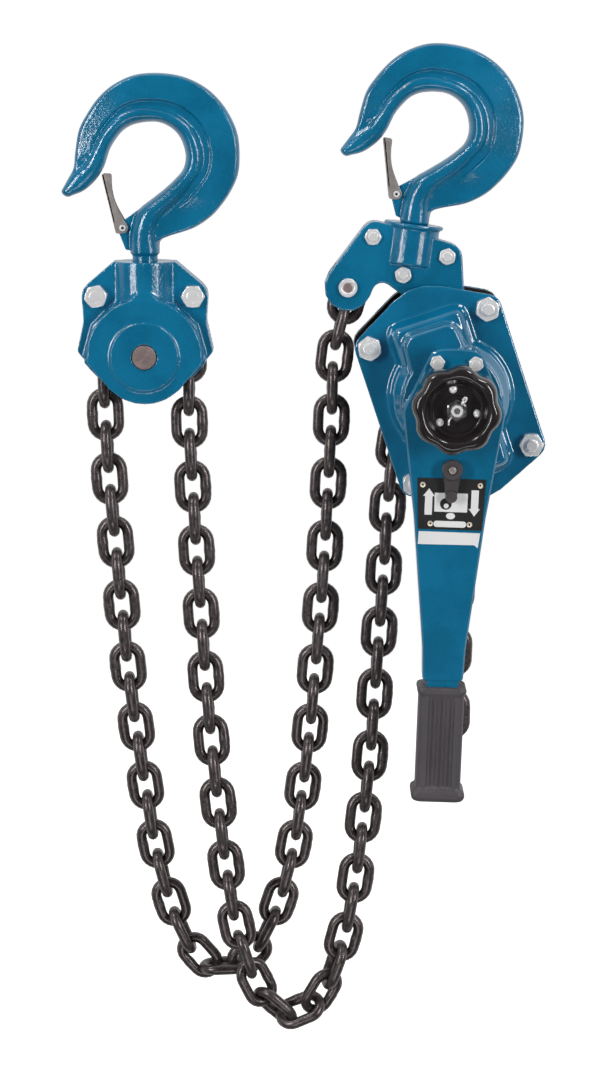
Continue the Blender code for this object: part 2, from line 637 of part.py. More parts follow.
def make_train(frame):
    """Drive shaft with its pinion, two idler gears, load gear and load sheave."""
    shaft = [(0, -134), (6.5, -134), (7, -133), (7, -92), (SHAFT, -92), (SHAFT, 34),
             (7, 34), (7, 60), (0, 60)]
    joined("drive_shaft", frame, STEEL, turned(shaft, "Y", 16), plate(spur(PINION_TEETH), 42, 50))
    half = 180 / WHEEL_TEETH
    for name, x in (("idler_gear_left", -GEAR_CENTRES), ("idler_gear_right", GEAR_CENTRES)):
        joined(name, frame, STEEL, plate(spur(WHEEL_TEETH, half, x), 42, 50),
               plate(spur(PINION_TEETH, 0, x), 30, 43), rod(5, 22.4, 53.6, x, 0, 12))
    solid("load_gear", plate(spur(WHEEL_TEETH, half), 30, 38, [disc(12.3)]), frame, STEEL)
    journal = ((17, 20.7), (17, 29.6), (12, 29.6), (12, 39), (SHAFT + 0.4, 39))
    make_sheave("load_sheave", frame, 50.0, SHAFT + 0.4, journal)


# ---------------------------------------------------------------- lever

LEVER = belt(mirrored([(0, 12, 38.5), (-12, 36, 14), (-31, -8, 14), (-34, -100, -2), (-23.5, -219, -4),
                       (-14.5, -246, 4)]))


def make_lever(frame):
    """Pressed lever in two halves with a hollow head, head bolts and a moulded grip."""
    tang = block((-14, LEVER_FRONT + 0.5, -344), (14, LEVER_BACK - 0.5, -240))
    middle = (LEVER_FRONT + LEVER_BACK) / 2
    sides = (("lever_front_half", LEVER_FRONT, middle - GAP / 2, 1),
             ("lever_rear_half", LEVER_BACK, middle + GAP / 2, -1))
    hollow = inset(LEVER, LEVER_SKIN)
    for name, outer, inner, facing in sides:
        shell = tapered(LEVER, (outer, 1.5), (outer + facing * 1.5, 0), (inner, 0))
        low, high = sorted((outer, inner))
        near, far = sorted((inner, inner + facing * 40))
        half = joined(name, frame, PAINT, shell, tang)
        shape(half, "DIFFERENCE",
              tapered(hollow, (outer + facing * LEVER_SKIN, 0), (inner + facing * 5, 0)),
              block((-60, near, -400), (60, far, 80)),
              rod(19, low - 1, high + 1, count=24),
              rod(5.4, low - 1, high + 1, 0, SELECTOR_Z, 12),
              *(rod(3.9, -110, -60, x, z, 10) for x, z in HEAD_BOLTS))
    for index, (x, z) in enumerate(HEAD_BOLTS):
        bolt(f"lever_bolt_{index + 1}", frame, x, z, (-104, -98.3), -70.6, 3.5, 12, None, 14 * index)
    make_grip(frame)


def grip_ring(half_x, half_y, z):
    """Rounded rectangle at one height of the grip."""
    corner = 7.0
    points = belt([(half_x - corner, corner - half_y, corner), (half_x - corner, half_y - corner, corner),
                   (corner - half_x, half_y - corner, corner), (corner - half_x, corner - half_y, corner)])
    return [(x, y + (LEVER_FRONT + LEVER_BACK) / 2, z) for x, y in points]


def make_grip(frame):
    """Moulded grip pushed over the lever's tang, with a collar and an end flange."""
    top, bottom = GRIP
    steps = ((21, 17, top), (22, 18, top - 4), (22, 18, top - 9), (20.4, 16.6, top - 12),
             (19.8, 16.2, bottom + 12), (23, 19, bottom + 9), (24, 20, bottom + 5), (23, 19, bottom))
    grip = solid("lever_grip", lofted([grip_ring(*step) for step in steps]), frame, RUBBER)
    shape(grip, "DIFFERENCE", block((-14.4, LEVER_FRONT + 0.1, -345), (14.4, LEVER_BACK - 0.1, top + 10)))


def make_selector(frame):
    """Up, neutral and down selector: knob, arm and shaft, with the feed pawl inside the head."""
    arm = belt([(0, SELECTOR_Z, 9.5), (0, SELECTOR_Z - 25, 5)])
    joined("selector_knob", frame, BLACK, plate(arm, -105, -98.4), rod(9.2, -109, -104, 0, SELECTOR_Z, 20),
           rod(5, -104, -73.5, 0, SELECTOR_Z, 16))
    pawl = belt([(0, SELECTOR_Z, 9), (9, SELECTOR_Z + 28, 2), (0, SELECTOR_Z + 23, -4),
                 (-9, SELECTOR_Z + 28, 2)])
    solid("feed_pawl", plate(pawl, -89, -79, [disc(5.3, 0, SELECTOR_Z, 14)]), frame, STEEL)


def make_drive_front(frame):
    """Change gear in the lever's head, hand wheel and castle nut on the drive shaft."""
    star = toothed(12, 24, 20.5, 0.16, 0.25)
    hub = [(8.4, -48.6), (25, -48.6), (25, -53), (17.5, -53), (17.5, -79), (8.4, -79)]
    joined("change_gear", frame, STEEL, turned(hub, "Y", 24, closed=True), plate(star, -90, -78, [disc(9)]))
    rings = ((8.4, 0, -104), (12, 0, -104), (24, 0.3, -106), (35, 1.2, -112), (38.2, 1.5, -120),
             (38.4, 1.5, -130), (35.5, 1.2, -137), (31, 0.6, -138), (27, 0, -134), (22.5, 0, -123),
             (8.4, 0, -123))
    points = []
    count = 40
    lobes = 8
    phase = math.radians(17)
    for base, ripple, y in rings:
        for k in range(count):
            turn = 2 * math.pi * k / count
            radius = base + ripple * math.cos(lobes * (turn - phase))
            points.append((radius * math.cos(turn), y, radius * math.sin(turn)))
    faces = []
    for row in range(len(rings)):
        start, following = row * count, (row + 1) % len(rings) * count
        for k in range(count):
            beside = (k + 1) % count
            faces.append([start + k, start + beside, following + beside, following + k])
    solid("hand_wheel", from_faces(points, faces), frame, BLACK)
    nut = plate(hexagon(17, turn=12), -131, -123.3, [disc(7.35, count=20)])
    solid("castle_nut", nut, frame, ZINC)


def make_hoist():
    """Hoist body, gear train, brake and lever on the drive axis."""
    frame = axis_frame("drive_axis", *HOIST_PLACE)
    make_plates(frame)
    make_covers(frame)
    make_brake(frame)
    make_train(frame)
    make_drive_front(frame)
    lever_frame = axis_frame("lever_axis", HOIST_PLACE[0], HOIST_PLACE[1], LEVER_TILT)
    make_lever(lever_frame)
    make_selector(lever_frame)


make_hook("top", HOOK_PLACE)
make_yoke()
make_hook("bottom", BLOCK_HOOK_PLACE)
make_block()
make_hoist()
make_chain()
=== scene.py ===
"""Looks of a hand-lever chain hoist on two falls of chain, hung from its top hook.

Castings and pressings are re-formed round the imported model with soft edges, the chain
becomes real links, and every piece gets its finish. Sizes are in millimetres in each
sub-assembly's own frame, and Place turns them into the row frame.
"""

import logging
import math
from collections.abc import Iterable, Sequence
from dataclasses import dataclass, field
from enum import Enum

import bmesh
import bpy
import numpy as np
from mathutils import Matrix, Vector


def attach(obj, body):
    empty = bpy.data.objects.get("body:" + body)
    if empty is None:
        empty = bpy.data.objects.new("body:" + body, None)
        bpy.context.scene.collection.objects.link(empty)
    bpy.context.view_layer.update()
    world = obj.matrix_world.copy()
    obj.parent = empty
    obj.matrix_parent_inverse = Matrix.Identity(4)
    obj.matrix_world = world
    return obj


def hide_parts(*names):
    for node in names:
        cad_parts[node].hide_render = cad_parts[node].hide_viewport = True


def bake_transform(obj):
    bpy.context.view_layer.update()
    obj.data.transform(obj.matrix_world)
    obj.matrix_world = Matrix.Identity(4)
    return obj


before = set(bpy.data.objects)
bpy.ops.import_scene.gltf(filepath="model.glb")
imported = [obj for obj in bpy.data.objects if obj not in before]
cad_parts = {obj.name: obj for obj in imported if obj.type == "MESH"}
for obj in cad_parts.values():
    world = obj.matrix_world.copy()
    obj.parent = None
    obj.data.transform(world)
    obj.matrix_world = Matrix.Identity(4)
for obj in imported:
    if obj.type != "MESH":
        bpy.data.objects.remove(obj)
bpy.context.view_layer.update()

MM = 0.001
LOG = logging.getLogger("hoist")

Pair = tuple[float, float]
Triple = tuple[float, float, float]
Outline = list[Pair]
Profile = Sequence[Pair]


# ---------------------------------------------------------------- shader kit

class Value:
    """A number or colour on a shader socket; arithmetic on it adds Math nodes."""

    def __init__(self, shade: "Graph", socket: bpy.types.NodeSocket) -> None:
        """Wrap a socket.

        Args:
            shade: The node tree that the socket is in.
            socket: The output that carries the value.
        """
        self.shade = shade
        self.socket = socket

    def _math(self, operation: str, *terms: "Value | float") -> "Value":
        """One Math node of an operation on its terms."""
        return self.shade.node("ShaderNodeMath", {"operation": operation}, dict(enumerate(terms)))

    def __add__(self, other: "Value | float") -> "Value":
        """Sum."""
        return self._math("ADD", self, other)

    def __radd__(self, other: float) -> "Value":
        """Sum with the number first."""
        return self._math("ADD", other, self)

    def __mul__(self, other: "Value | float") -> "Value":
        """Product."""
        return self._math("MULTIPLY", self, other)

    def __rmul__(self, other: float) -> "Value":
        """Product with the number first."""
        return self._math("MULTIPLY", other, self)

    def ramp(self, low: float, high: float) -> "Value":
        """Smooth step from 0 at low to 1 at high."""
        settings = {"interpolation_type": "SMOOTHSTEP"}
        return self.shade.node("ShaderNodeMapRange", settings, {"Value": self, 1: low, 2: high})


class Graph:
    """A node tree that nodes are added to."""

    def __init__(self, tree: bpy.types.NodeTree) -> None:
        """Work on a tree."""
        self.tree = tree

    def node(self, kind: str, settings: dict | None = None, inputs: dict | None = None,
             output: str | int = 0) -> Value:
        """Add a node.

        Args:
            kind: The node's type.
            settings: Attributes to set before anything is linked.
            inputs: Socket name or index to a number, tuple or Value.
            output: The output to return.

        Returns:
            The chosen output.
        """
        made = self.tree.nodes.new(kind)
        for key, setting in (settings or {}).items():
            setattr(made, key, setting)
        for key, value in (inputs or {}).items():
            self.feed(made.inputs[key], value)
        return Value(self, made.outputs[output])

    def feed(self, socket: bpy.types.NodeSocket, value: "Value | float | Sequence[float]") -> None:
        """Link a Value to a socket, or set its default."""
        if isinstance(value, Value):
            self.tree.links.new(value.socket, socket)
        else:
            socket.default_value = value


class Shade(Graph):
    """One material and the nodes that feed its Principled shader."""

    def __init__(self, name: str) -> None:
        """Start a material with an untouched Principled shader."""
        self.material = bpy.data.materials.new(name)
        self.material.use_nodes = True
        super().__init__(self.material.node_tree)
        self.shader = self.tree.nodes["Principled BSDF"]
        self.position = self.node("ShaderNodeTexCoord", output="Object")

    def noise(self, size: float, detail: float = 2.0, rough: float = 0.5,
              stretch: Triple = (1.0, 1.0, 1.0)) -> Value:
        """Cloudy noise whose features are about a size in millimetres.

        Args:
            size: Feature size.
            detail: Octaves.
            rough: Share that each octave keeps.
            stretch: Frequency along X, Y and Z, relative to the size.

        Returns:
            Noise from about 0.2 to 0.8.
        """
        where = self.position
        if stretch != (1.0, 1.0, 1.0):
            where = self.node("ShaderNodeVectorMath", {"operation": "MULTIPLY"}, {0: where, 1: stretch})
        inputs = {"Vector": where, "Scale": 1.0 / (size * MM), "Detail": detail, "Roughness": rough}
        return self.node("ShaderNodeTexNoise", None, inputs)

    def blend(self, share: "Value | float", first: "Value | Triple", second: "Value | Triple") -> Value:
        """Mix two colours; share 1 gives the second."""
        sides = {6 + k: side if isinstance(side, Value) else (*side, 1.0)
                 for k, side in enumerate((first, second))}
        return self.node("ShaderNodeMix", {"data_type": "RGBA"}, {0: share, **sides}, output=2)

    def edges(self, low: float, high: float) -> Value:
        """Mask of convex edges, where the finishes paint highlights."""
        return self.node("ShaderNodeNewGeometry", output="Pointiness").ramp(low, high)

    def set(self, **values: "Value | float | Sequence[float]") -> None:
        """Feed the Principled shader; names have underscores for spaces."""
        for name, value in values.items():
            self.feed(self.shader.inputs[name.replace("_", " ").title()], value)

    def bump(self, height: Value, depth: float) -> None:
        """Raise the surface by a height of up to a depth in millimetres."""
        inputs = {"Strength": 1.0, "Distance": depth * MM, "Height": height}
        self.feed(self.shader.inputs["Normal"], self.node("ShaderNodeBump", None, inputs))


@dataclass(frozen=True)
class Enamel:
    """Gloss paint over a casting or a pressing.

    Attributes:
        name: Material name.
        color: Paint colour.
        grain: Size of the skin's pimples in millimetres.
        depth: Their height in millimetres.
        rough: Roughness where the paint is smoothest.
        pale: How far sharp edges go pale, as a painted highlight along them.
        coat: Weight of the clear gloss on top.
    """

    name: str
    color: Triple = (0.0015, 0.128, 0.252)
    grain: float = 2.6
    depth: float = 0.16
    rough: float = 0.17
    pale: float = 0.12
    coat: float = 0.0

    def make(self) -> bpy.types.Material:
        """Build the material."""
        shade = Shade(self.name)
        clouds = shade.noise(38, 3)
        pimples = shade.noise(self.grain, 3, 0.55)
        fine = shade.noise(self.grain * 0.3, 2)
        deep = tuple(c * 0.86 for c in self.color)
        light = tuple(min(1.0, c * 1.12 + 0.002) for c in self.color)
        color = shade.blend(clouds.ramp(0.32, 0.68), deep, light)
        color = shade.blend(pimples.ramp(0.3, 0.75) * 0.25, color, tuple(c * 1.5 for c in self.color))
        # Painted highlight: sharp edges blend towards a pale blue by the pale share.
        color = shade.blend(shade.edges(0.52, 0.6) * self.pale, color, (0.3, 0.55, 0.68))
        shade.set(base_color=color, roughness=self.rough + 0.06 * fine + 0.05 * clouds, coat_weight=self.coat,
                  coat_roughness=0.04)
        shade.feed(shade.shader.inputs["Specular IOR Level"], 0.9)
        shade.bump(pimples * 0.75 + fine * 0.25, self.depth)
        return shade.material


@dataclass(frozen=True)
class Metal:
    """Bare, plated or scaled metal.

    Attributes:
        name: Material name.
        color: Colour of the clean metal.
        tarnish: Colour of its darker patches.
        metallic: Metallic share.
        rough: Lowest and highest roughness.
        grain: Size of its patches in millimetres.
        depth: Height of its surface texture in millimetres.
        stretch: Frequency of the brushing along X, Y and Z.
    """

    name: str
    color: Triple
    tarnish: Triple
    metallic: float = 1.0
    rough: Pair = (0.22, 0.42)
    grain: float = 6.0
    depth: float = 0.03
    stretch: Triple = (1.0, 1.0, 1.0)

    def make(self) -> bpy.types.Material:
        """Build the material."""
        shade = Shade(self.name)
        patches = shade.noise(self.grain, 4, 0.6)
        brushed = shade.noise(self.grain * 0.16, 3, 0.6, self.stretch)
        color = shade.blend(patches.ramp(0.36, 0.66), self.tarnish, self.color)
        # Painted highlight: sharp edges blend towards a brighter copy of the metal's colour.
        bright = tuple(min(1.0, c * 1.9) for c in self.color)
        color = shade.blend(shade.edges(0.51, 0.58) * 0.35, color, bright)
        low, high = self.rough
        mottle = patches * 0.5 + brushed * 0.5
        shade.set(base_color=color, metallic=self.metallic,
                  roughness=low + (high - low) * mottle.ramp(0.3, 0.7))
        shade.bump(brushed * 0.6 + patches * 0.4, self.depth)
        return shade.material


@dataclass(frozen=True)
class Polymer:
    """Rubber, plastic, friction lining or printing ink.

    Attributes:
        name: Material name.
        color: Body colour.
        rough: Roughness.
        grain: Size of the surface grain in millimetres.
        depth: Height of the grain in millimetres.
        coat: Weight of a clear gloss coat.
        speck: How far specks in the body go lighter.
    """

    name: str
    color: Triple
    rough: float = 0.5
    grain: float = 1.0
    depth: float = 0.02
    coat: float = 0.0
    speck: float = 0.15

    def make(self) -> bpy.types.Material:
        """Build the material."""
        shade = Shade(self.name)
        grain = shade.noise(self.grain, 3, 0.6)
        clouds = shade.noise(24, 2)
        lighter = tuple(min(1.0, c * 1.7 + 0.01) for c in self.color)
        patchy = grain.ramp(0.5, 0.8) * self.speck + clouds.ramp(0.4, 0.8) * 0.2
        color = shade.blend(patchy, self.color, lighter)
        # Painted highlight: sharp edges blend towards the lighter colour.
        color = shade.blend(shade.edges(0.52, 0.6) * 0.25, color, lighter)
        shade.set(base_color=color, roughness=self.rough + 0.12 * clouds, coat_weight=self.coat,
                  coat_roughness=0.08)
        shade.bump(grain, self.depth)
        return shade.material


class Finish(Enum):
    """The hoist's finishes."""

    # The sixth value of an Enamel, pale, sets its painted highlight on sharp edges.
    CAST = Enamel("cast_blue_enamel", (0.0012, 0.158, 0.305), 2.3, 0.3, 0.09, 0.16)
    PRESSED = Enamel("pressed_blue_enamel", (0.0008, 0.158, 0.308), 1.6, 0.012, 0.07, 0.4, 0.9)
    LEVER = Enamel("lever_blue_enamel", (0.0008, 0.158, 0.308), 1.6, 0.012, 0.07, 0.0, 0.9)
    CHAIN = Metal("scaled_chain_steel", (0.12, 0.1, 0.1), (0.06, 0.05, 0.05), 0.7, (0.24, 0.42), 5, 0.03)
    ZINC = Metal("bright_zinc", (0.97, 0.97, 0.98), (0.92, 0.92, 0.93), 0.3, (0.2, 0.3), 14, 0.0015)
    STEEL = Metal("machined_steel", (0.5, 0.5, 0.51), (0.3, 0.29, 0.28), 1.0, (0.22, 0.4), 4, 0.01, (1, 6, 1))
    LATCH = Metal("pressed_latch_steel", (0.36, 0.33, 0.32), (0.29, 0.26, 0.25), 0.5, (0.34, 0.5), 9, 0.006,
                  (1, 1, 0.2))
    AXLE = Metal("ground_axle_steel", (0.25, 0.19, 0.185), (0.2, 0.155, 0.15), 0.4, (0.4, 0.6), 3, 0.006)
    BRASS = Metal("brass", (0.95, 0.8, 0.6), (0.8, 0.6, 0.4), 0.3, (0.2, 0.35), 2, 0.002)
    BLACK = Polymer("black_stove_enamel", (0.018, 0.0145, 0.0155), 0.13, 2.5, 0.006, 0.5, 0.05)
    PLATE = Polymer("black_plate_enamel", (0.015, 0.0145, 0.0145), 0.3, 2.2, 0.02, 0.3)
    KNOB = Polymer("dark_grey_knob", (0.06, 0.052, 0.056), 0.34, 1.0, 0.01, 0.2)
    RUBBER = Polymer("moulded_grip", (0.075, 0.066, 0.074), 0.42, 0.7, 0.015)
    LINING = Polymer("brake_lining", (0.17, 0.1, 0.06), 0.8, 0.8, 0.04, 0.0, 0.7)
    LABEL = Polymer("printed_black", (0.013, 0.013, 0.013), 0.3, 1.2, 0.004, 0.3, 0.05)
    INK = Polymer("white_ink", (0.86, 0.85, 0.85), 0.4, 1.2, 0.003, 0.0, 0.0)

    @property
    def material(self) -> bpy.types.Material:
        """The finish's material, built once."""
        return bpy.data.materials.get(self.value.name) or self.value.make()


# ---------------------------------------------------------------- mesh kit

@dataclass(frozen=True)
class Place:
    """Where a sub-assembly stands: x and z in millimetres, and its tilt about +Y in degrees."""

    x: float = 0.0
    z: float = 0.0
    tilt: float = 0.0

    @property
    def matrix(self) -> np.ndarray:
        """Turn from the sub-assembly's frame to the row frame, as 4 by 4 in millimetres."""
        turn = Matrix.Rotation(math.radians(self.tilt), 4, "Y")
        return np.array(Matrix.Translation((self.x, 0, self.z)) @ turn)

    def point(self, x: float, y: float, z: float) -> Triple:
        """A point of the sub-assembly in the row frame, in metres."""
        return tuple(float(v) for v in (self.matrix @ np.array((x, y, z, 1.0)))[:3] * MM)


HOOK_PLACE = Place(0.0, 0.0, 7.4)
HOIST_PLACE = Place(17.5, -272.5, -18.5)
LEVER_PLACE = Place(17.5, -272.5, 1.9)
BLOCK_PLACE = Place(-260.0, -237.0, 0.0)
BLOCK_HOOK_PLACE = Place(-260.0, -27.2, 0.0)


def clamp(value: float) -> float:
    """A value held between 0 and 1."""
    return min(1.0, max(0.0, value))


def disc(radius: float, x: float = 0.0, z: float = 0.0, count: int = 48) -> Outline:
    """Points of a circle, counter-clockwise."""
    turns = [2 * math.pi * k / count for k in range(count)]
    return [(x + radius * math.cos(t), z + radius * math.sin(t)) for t in turns]


def belt(circles: Sequence[Triple], step: float = 8.0) -> Outline:
    """Outline of a belt laid round circles.

    Args:
        circles: Each circle's x, z and radius; a negative radius bends the belt inwards.
        step: Degrees of arc between points.

    Returns:
        The outline, counter-clockwise.
    """
    leans = []
    for (x1, z1, r1), (x2, z2, r2) in zip(circles, [*circles[1:], circles[0]]):
        leans.append(math.atan2(z2 - z1, x2 - x1) - math.acos((r1 - r2) / math.hypot(x2 - x1, z2 - z1)))
    points = []
    for index, (x, z, radius) in enumerate(circles):
        sweep = (leans[index] - leans[index - 1]) % (2 * math.pi)
        if radius < 0 < sweep:
            sweep -= 2 * math.pi
        parts = max(1, math.ceil(abs(math.degrees(sweep)) / step))
        for k in range(parts + 1):
            turn = leans[index - 1] + sweep * k / parts
            points.append((x + radius * math.cos(turn), z + radius * math.sin(turn)))
    return points


def rectangle(width: float, height: float, corner: float, x: float = 0.0, z: float = 0.0) -> Outline:
    """Rounded rectangle outline about a centre."""
    a, b = width / 2 - corner, height / 2 - corner
    middles = ((a, -b), (a, b), (-a, b), (-a, -b))
    return belt([(x + along, z + up, corner) for along, up in middles], 22.0)


def smooth_rows(rows: np.ndarray, parts: int) -> np.ndarray:
    """Catmull-Rom curve through rows of values, with a number of parts to each gap."""
    knots = np.vstack([2 * rows[0] - rows[1], rows, 2 * rows[-1] - rows[-2]])
    made = []
    for a, b, c, d in zip(knots, knots[1:], knots[2:], knots[3:]):
        for k in range(parts):
            t = k / parts
            made.append(0.5 * (2 * b + (c - a) * t + (2 * a - 5 * b + 4 * c - d) * t * t
                               + (3 * b - a - 3 * c + d) * t ** 3))
    made.append(rows[-1])
    return np.array(made)


class Form:
    """A closed surface as points in millimetres and faces, before it becomes a mesh."""

    def __init__(self, points: Iterable[Sequence[float]], faces: Iterable[Sequence[int]]) -> None:
        """Keep points and faces."""
        self.points = np.array(list(points), float).reshape(-1, 3)
        self.faces = [list(face) for face in faces]

    @classmethod
    def loft(cls, rings: Sequence[Sequence[Sequence[float]]], closed: bool = False) -> "Form":
        """Surface through rings of points with the same count.

        Args:
            rings: The rings in order.
            closed: Whether the last ring joins the first; otherwise both ends are capped.

        Returns:
            The closed surface.
        """
        count = len(rings[0])
        faces = [] if closed else [list(range(count)), [(len(rings) - 1) * count + k for k in range(count)]]
        for row in range(len(rings) if closed else len(rings) - 1):
            start, above = row * count, (row + 1) % len(rings) * count
            for k in range(count):
                beside = (k + 1) % count
                faces.append([start + k, start + beside, above + beside, above + k])
        return cls((point for ring in rings for point in ring), faces)

    @classmethod
    def plate(cls, outline: Outline, low: float, high: float) -> "Form":
        """Flat plate in the XZ plane from y=low to y=high."""
        return cls.loft([[(x, y, z) for x, z in outline] for y in (low, high)])

    @classmethod
    def turned(cls, profile: Profile, x: float = 0.0, z: float = 0.0, upright: bool = False,
               count: int = 48, closed: bool = False) -> "Form":
        """Solid of revolution from (radius, height) pairs, along Y or, if upright, along Z."""
        rings = []
        for radius, height in profile:
            ring = disc(max(radius, 0.02), count=count)
            rings.append([(x + a, b, z + height) if upright else (x + a, height, z + b) for a, b in ring])
        return cls.loft(rings, closed)

    @classmethod
    def of_node(cls, node: str) -> "Form":
        """The surface of a CAD node, in the row frame."""
        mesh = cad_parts[node].data
        return cls((v.co / MM for v in mesh.vertices), (p.vertices for p in mesh.polygons))

    def placed(self, place: Place) -> "Form":
        """The form turned from a sub-assembly's frame to the row frame."""
        matrix = place.matrix
        return Form(self.points @ matrix[:3, :3].T + matrix[:3, 3], self.faces)

    def __add__(self, other: "Form") -> "Form":
        """Both forms as one."""
        shift = len(self.points)
        return Form(np.vstack([self.points, other.points]),
                    [*self.faces, *([k + shift for k in face] for face in other.faces)])

    def mesh(self) -> bpy.types.Mesh:
        """Mesh in metres with coincident points welded and faces turned outwards."""
        made = bpy.data.meshes.new("form")
        made.from_pydata([tuple(point) for point in self.points * MM], [], self.faces)
        work = bmesh.new()
        work.from_mesh(made)
        bmesh.ops.remove_doubles(work, verts=work.verts, dist=2e-6)
        bmesh.ops.dissolve_degenerate(work, edges=work.edges, dist=1e-7)
        bmesh.ops.recalc_face_normals(work, faces=work.faces)
        work.to_mesh(made)
        work.free()
        return made


def applied(form: Form, *modifiers: tuple[str, dict]) -> bpy.types.Mesh:
    """Mesh of a form with modifiers applied.

    Args:
        form: The starting form.
        modifiers: Each modifier's type and settings.

    Returns:
        The evaluated mesh.
    """
    holder = bpy.data.objects.new("holder", form.mesh())
    bpy.context.scene.collection.objects.link(holder)
    helpers = []
    for kind, settings in modifiers:
        modifier = holder.modifiers.new(kind, kind)
        for key, setting in settings.items():
            if isinstance(setting, Form):
                helpers.append(bpy.data.objects.new("cutter", setting.mesh()))
                bpy.context.scene.collection.objects.link(helpers[-1])
                setting = helpers[-1]
            setattr(modifier, key, setting)
    evaluated = holder.evaluated_get(bpy.context.evaluated_depsgraph_get())
    mesh = bpy.data.meshes.new_from_object(evaluated)
    for item in (holder, *helpers):
        bpy.data.objects.remove(item)
    return mesh


def fused(form: Form, voxel: float, rounds: int, cut: Form | None = None) -> bpy.types.Mesh:
    """Overlapping forms run together into one skin with soft fillets.

    Args:
        form: The overlapping closed forms.
        voxel: Size of the skin's facets in millimetres.
        rounds: Rounds of smoothing.
        cut: Forms taken out of it first.

    Returns:
        The skin.
    """
    steps = [("REMESH", {"mode": "VOXEL", "voxel_size": voxel * MM})]
    if cut:
        steps.append(("BOOLEAN", {"operation": "DIFFERENCE", "solver": "EXACT", "object": cut}))
        steps.append(("REMESH", {"mode": "VOXEL", "voxel_size": voxel * MM}))
    steps.append(("SMOOTH", {"factor": 0.5, "iterations": rounds}))
    return applied(form, *steps)


def bevelled(form: Form, width: float, segments: int = 2, angle: float = 32.0) -> bpy.types.Mesh:
    """Form with its sharp edges rounded by a width in millimetres."""
    return applied(form, ("BEVEL", {"width": width * MM, "segments": segments, "limit_method": "ANGLE",
                                    "angle_limit": math.radians(angle), "use_clamp_overlap": True}))


def place_piece(name: str, mesh: bpy.types.Mesh | Form, finish: Finish, body: str,
                stands_for: Sequence[str] = (), sharp: float = 38.0) -> bpy.types.Object:
    """Finish a piece, mount it on its body and report it.

    Args:
        name: Piece name.
        mesh: Its mesh, or a form to make it from.
        finish: Its finish.
        body: The CAD body that it rides on.
        stands_for: CAD nodes that it replaces.
        sharp: Angle in degrees over which an edge stays sharp.

    Returns:
        The piece.
    """
    made = mesh.mesh() if isinstance(mesh, Form) else mesh
    made.materials.clear()
    made.materials.append(finish.material)
    made.shade_smooth()
    made.set_sharp_from_angle(angle=math.radians(sharp))
    piece = bpy.data.objects.new(name, made)
    piece.modifiers.new("face_normals", "WEIGHTED_NORMAL").keep_sharp = True
    bpy.context.scene.collection.objects.link(piece)
    if body:
        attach(piece, body)
    if stands_for:
        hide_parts(*stands_for)
    LOG.info("%s: %d faces on %s", name, len(made.polygons), body or "a joint")
    return piece


def dress(finish: Finish, *nodes: str) -> None:
    """Give CAD nodes that keep their shape a finish."""
    for node in nodes:
        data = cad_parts[node].data
        data.materials.clear()
        data.materials.append(finish.material)
        LOG.info("%s: dressed in %s", node, finish.name)


# ---------------------------------------------------------------- fasteners

def hex_ring(across: float, limit: float, y: float, x: float, z: float, turn: float) -> list[Triple]:
    """Ring of a chamfered hexagon: the hexagon's outline, held inside a circle."""
    ring = []
    for k in range(48):
        angle = 2 * math.pi * k / 48
        within = (angle - math.radians(turn)) % (math.pi / 3) - math.pi / 6
        radius = min(across / 2 / math.cos(within), limit)
        ring.append((x + radius * math.cos(angle), y, z + radius * math.sin(angle)))
    return ring


@dataclass(frozen=True)
class Fastener:
    """Hexagon head or nut along Y, with the bolt's end standing out of it.

    Attributes:
        across: Width across flats.
        face: y of its outer face.
        seat: y of its seat.
        turn: Turn of the hexagon in degrees.
        end: How far the bolt's round end stands out; none on a head.
        shank: Radius of the bolt.
    """

    across: float
    face: float
    seat: float
    turn: float = 0.0
    end: float = 0.0
    shank: float = 5.5

    def form(self, x: float, z: float) -> Form:
        """The fastener at a place in its frame."""
        out = math.copysign(1.0, self.face - self.seat)
        rings = []
        for depth, limit in ((0.0, 0.46), (0.35, 0.5), (1.0, 0.54), (1.9, 0.6)):
            rings.append(hex_ring(self.across, self.across * limit, self.face - out * depth, x, z, self.turn))
        for depth, limit in ((0.8, 0.6), (0.25, 0.55), (0.0, 0.52)):
            rings.append(hex_ring(self.across, self.across * limit, self.seat + out * depth, x, z, self.turn))
        made = Form.loft(rings)
        if self.end:
            tip = self.face + out * self.end
            grooves = [(self.shank - (0.35 if k % 2 else 0.0),
                        self.face - out * 1.0 + out * (self.end - 0.6) * k / 7) for k in range(8)]
            profile = [(0, self.face - out * 3), *grooves, (self.shank - 0.9, tip), (0, tip)]
        else:
            top = self.face + out * 0.25
            profile = [(0, self.face), (self.across * 0.3, self.face), (self.across * 0.27, top), (0, top)]
        return made + Form.turned(profile, x, z, count=32)


# ---------------------------------------------------------------- chain

ANCHOR_ROUTE = (
    (-79, 0, -199), (-88, 0, -239), (-90, 0, -298), (-93, 0, -358), (-96, 0, -417), (-100, 0, -476),
    (-105, 2, -536), (-110, 8, -596), (-117, 14, -656), (-126, 18, -716), (-141, 19, -772),
    (-159, 19, -810), (-176, 19, -829), (-196, 19, -836), (-217, 19, -821), (-231, 19, -797),
    (-242, 19, -769), (-256, 18, -714), (-265, 14, -654), (-273, 7, -593), (-280, 2, -532),
    (-285, 0, -472), (-290, 0, -413), (-295, 0, -353), (-298, 0, -293), (-299.5, 0, -241.5),
)
HOIST_ROUTE = (
    (-220.5, 0, -241.5), (-221, 0, -302), (-218, 0, -362), (-215, 0, -422), (-211, 0, -482),
    (-207, -3, -541), (-202, -9, -599), (-196, -15, -657), (-189, -19, -715), (-180, -19, -773),
    (-168, -19, -817), (-150, -19, -852), (-127, -19, -868), (-106, -19, -856), (-92, -19, -832),
    (-76, -19, -783), (-66, -19, -726), (-59, -16, -668), (-53, -10, -611), (-49, -4, -553),
    (-45, 0, -496), (-41, 0, -436), (-38, 0, -378), (-32, 0, -320), (-22.4, 0, -268),
)
FREE_ROUTE = (
    (56.4, 0, -266), (55.5, 0, -286), (50, 0, -305), (40, 0, -327), (32, 0, -352),
    (29, 0, -400), (27, 0, -460), (25, 0, -520), (24, 0, -560), (24, 0, -588),
)


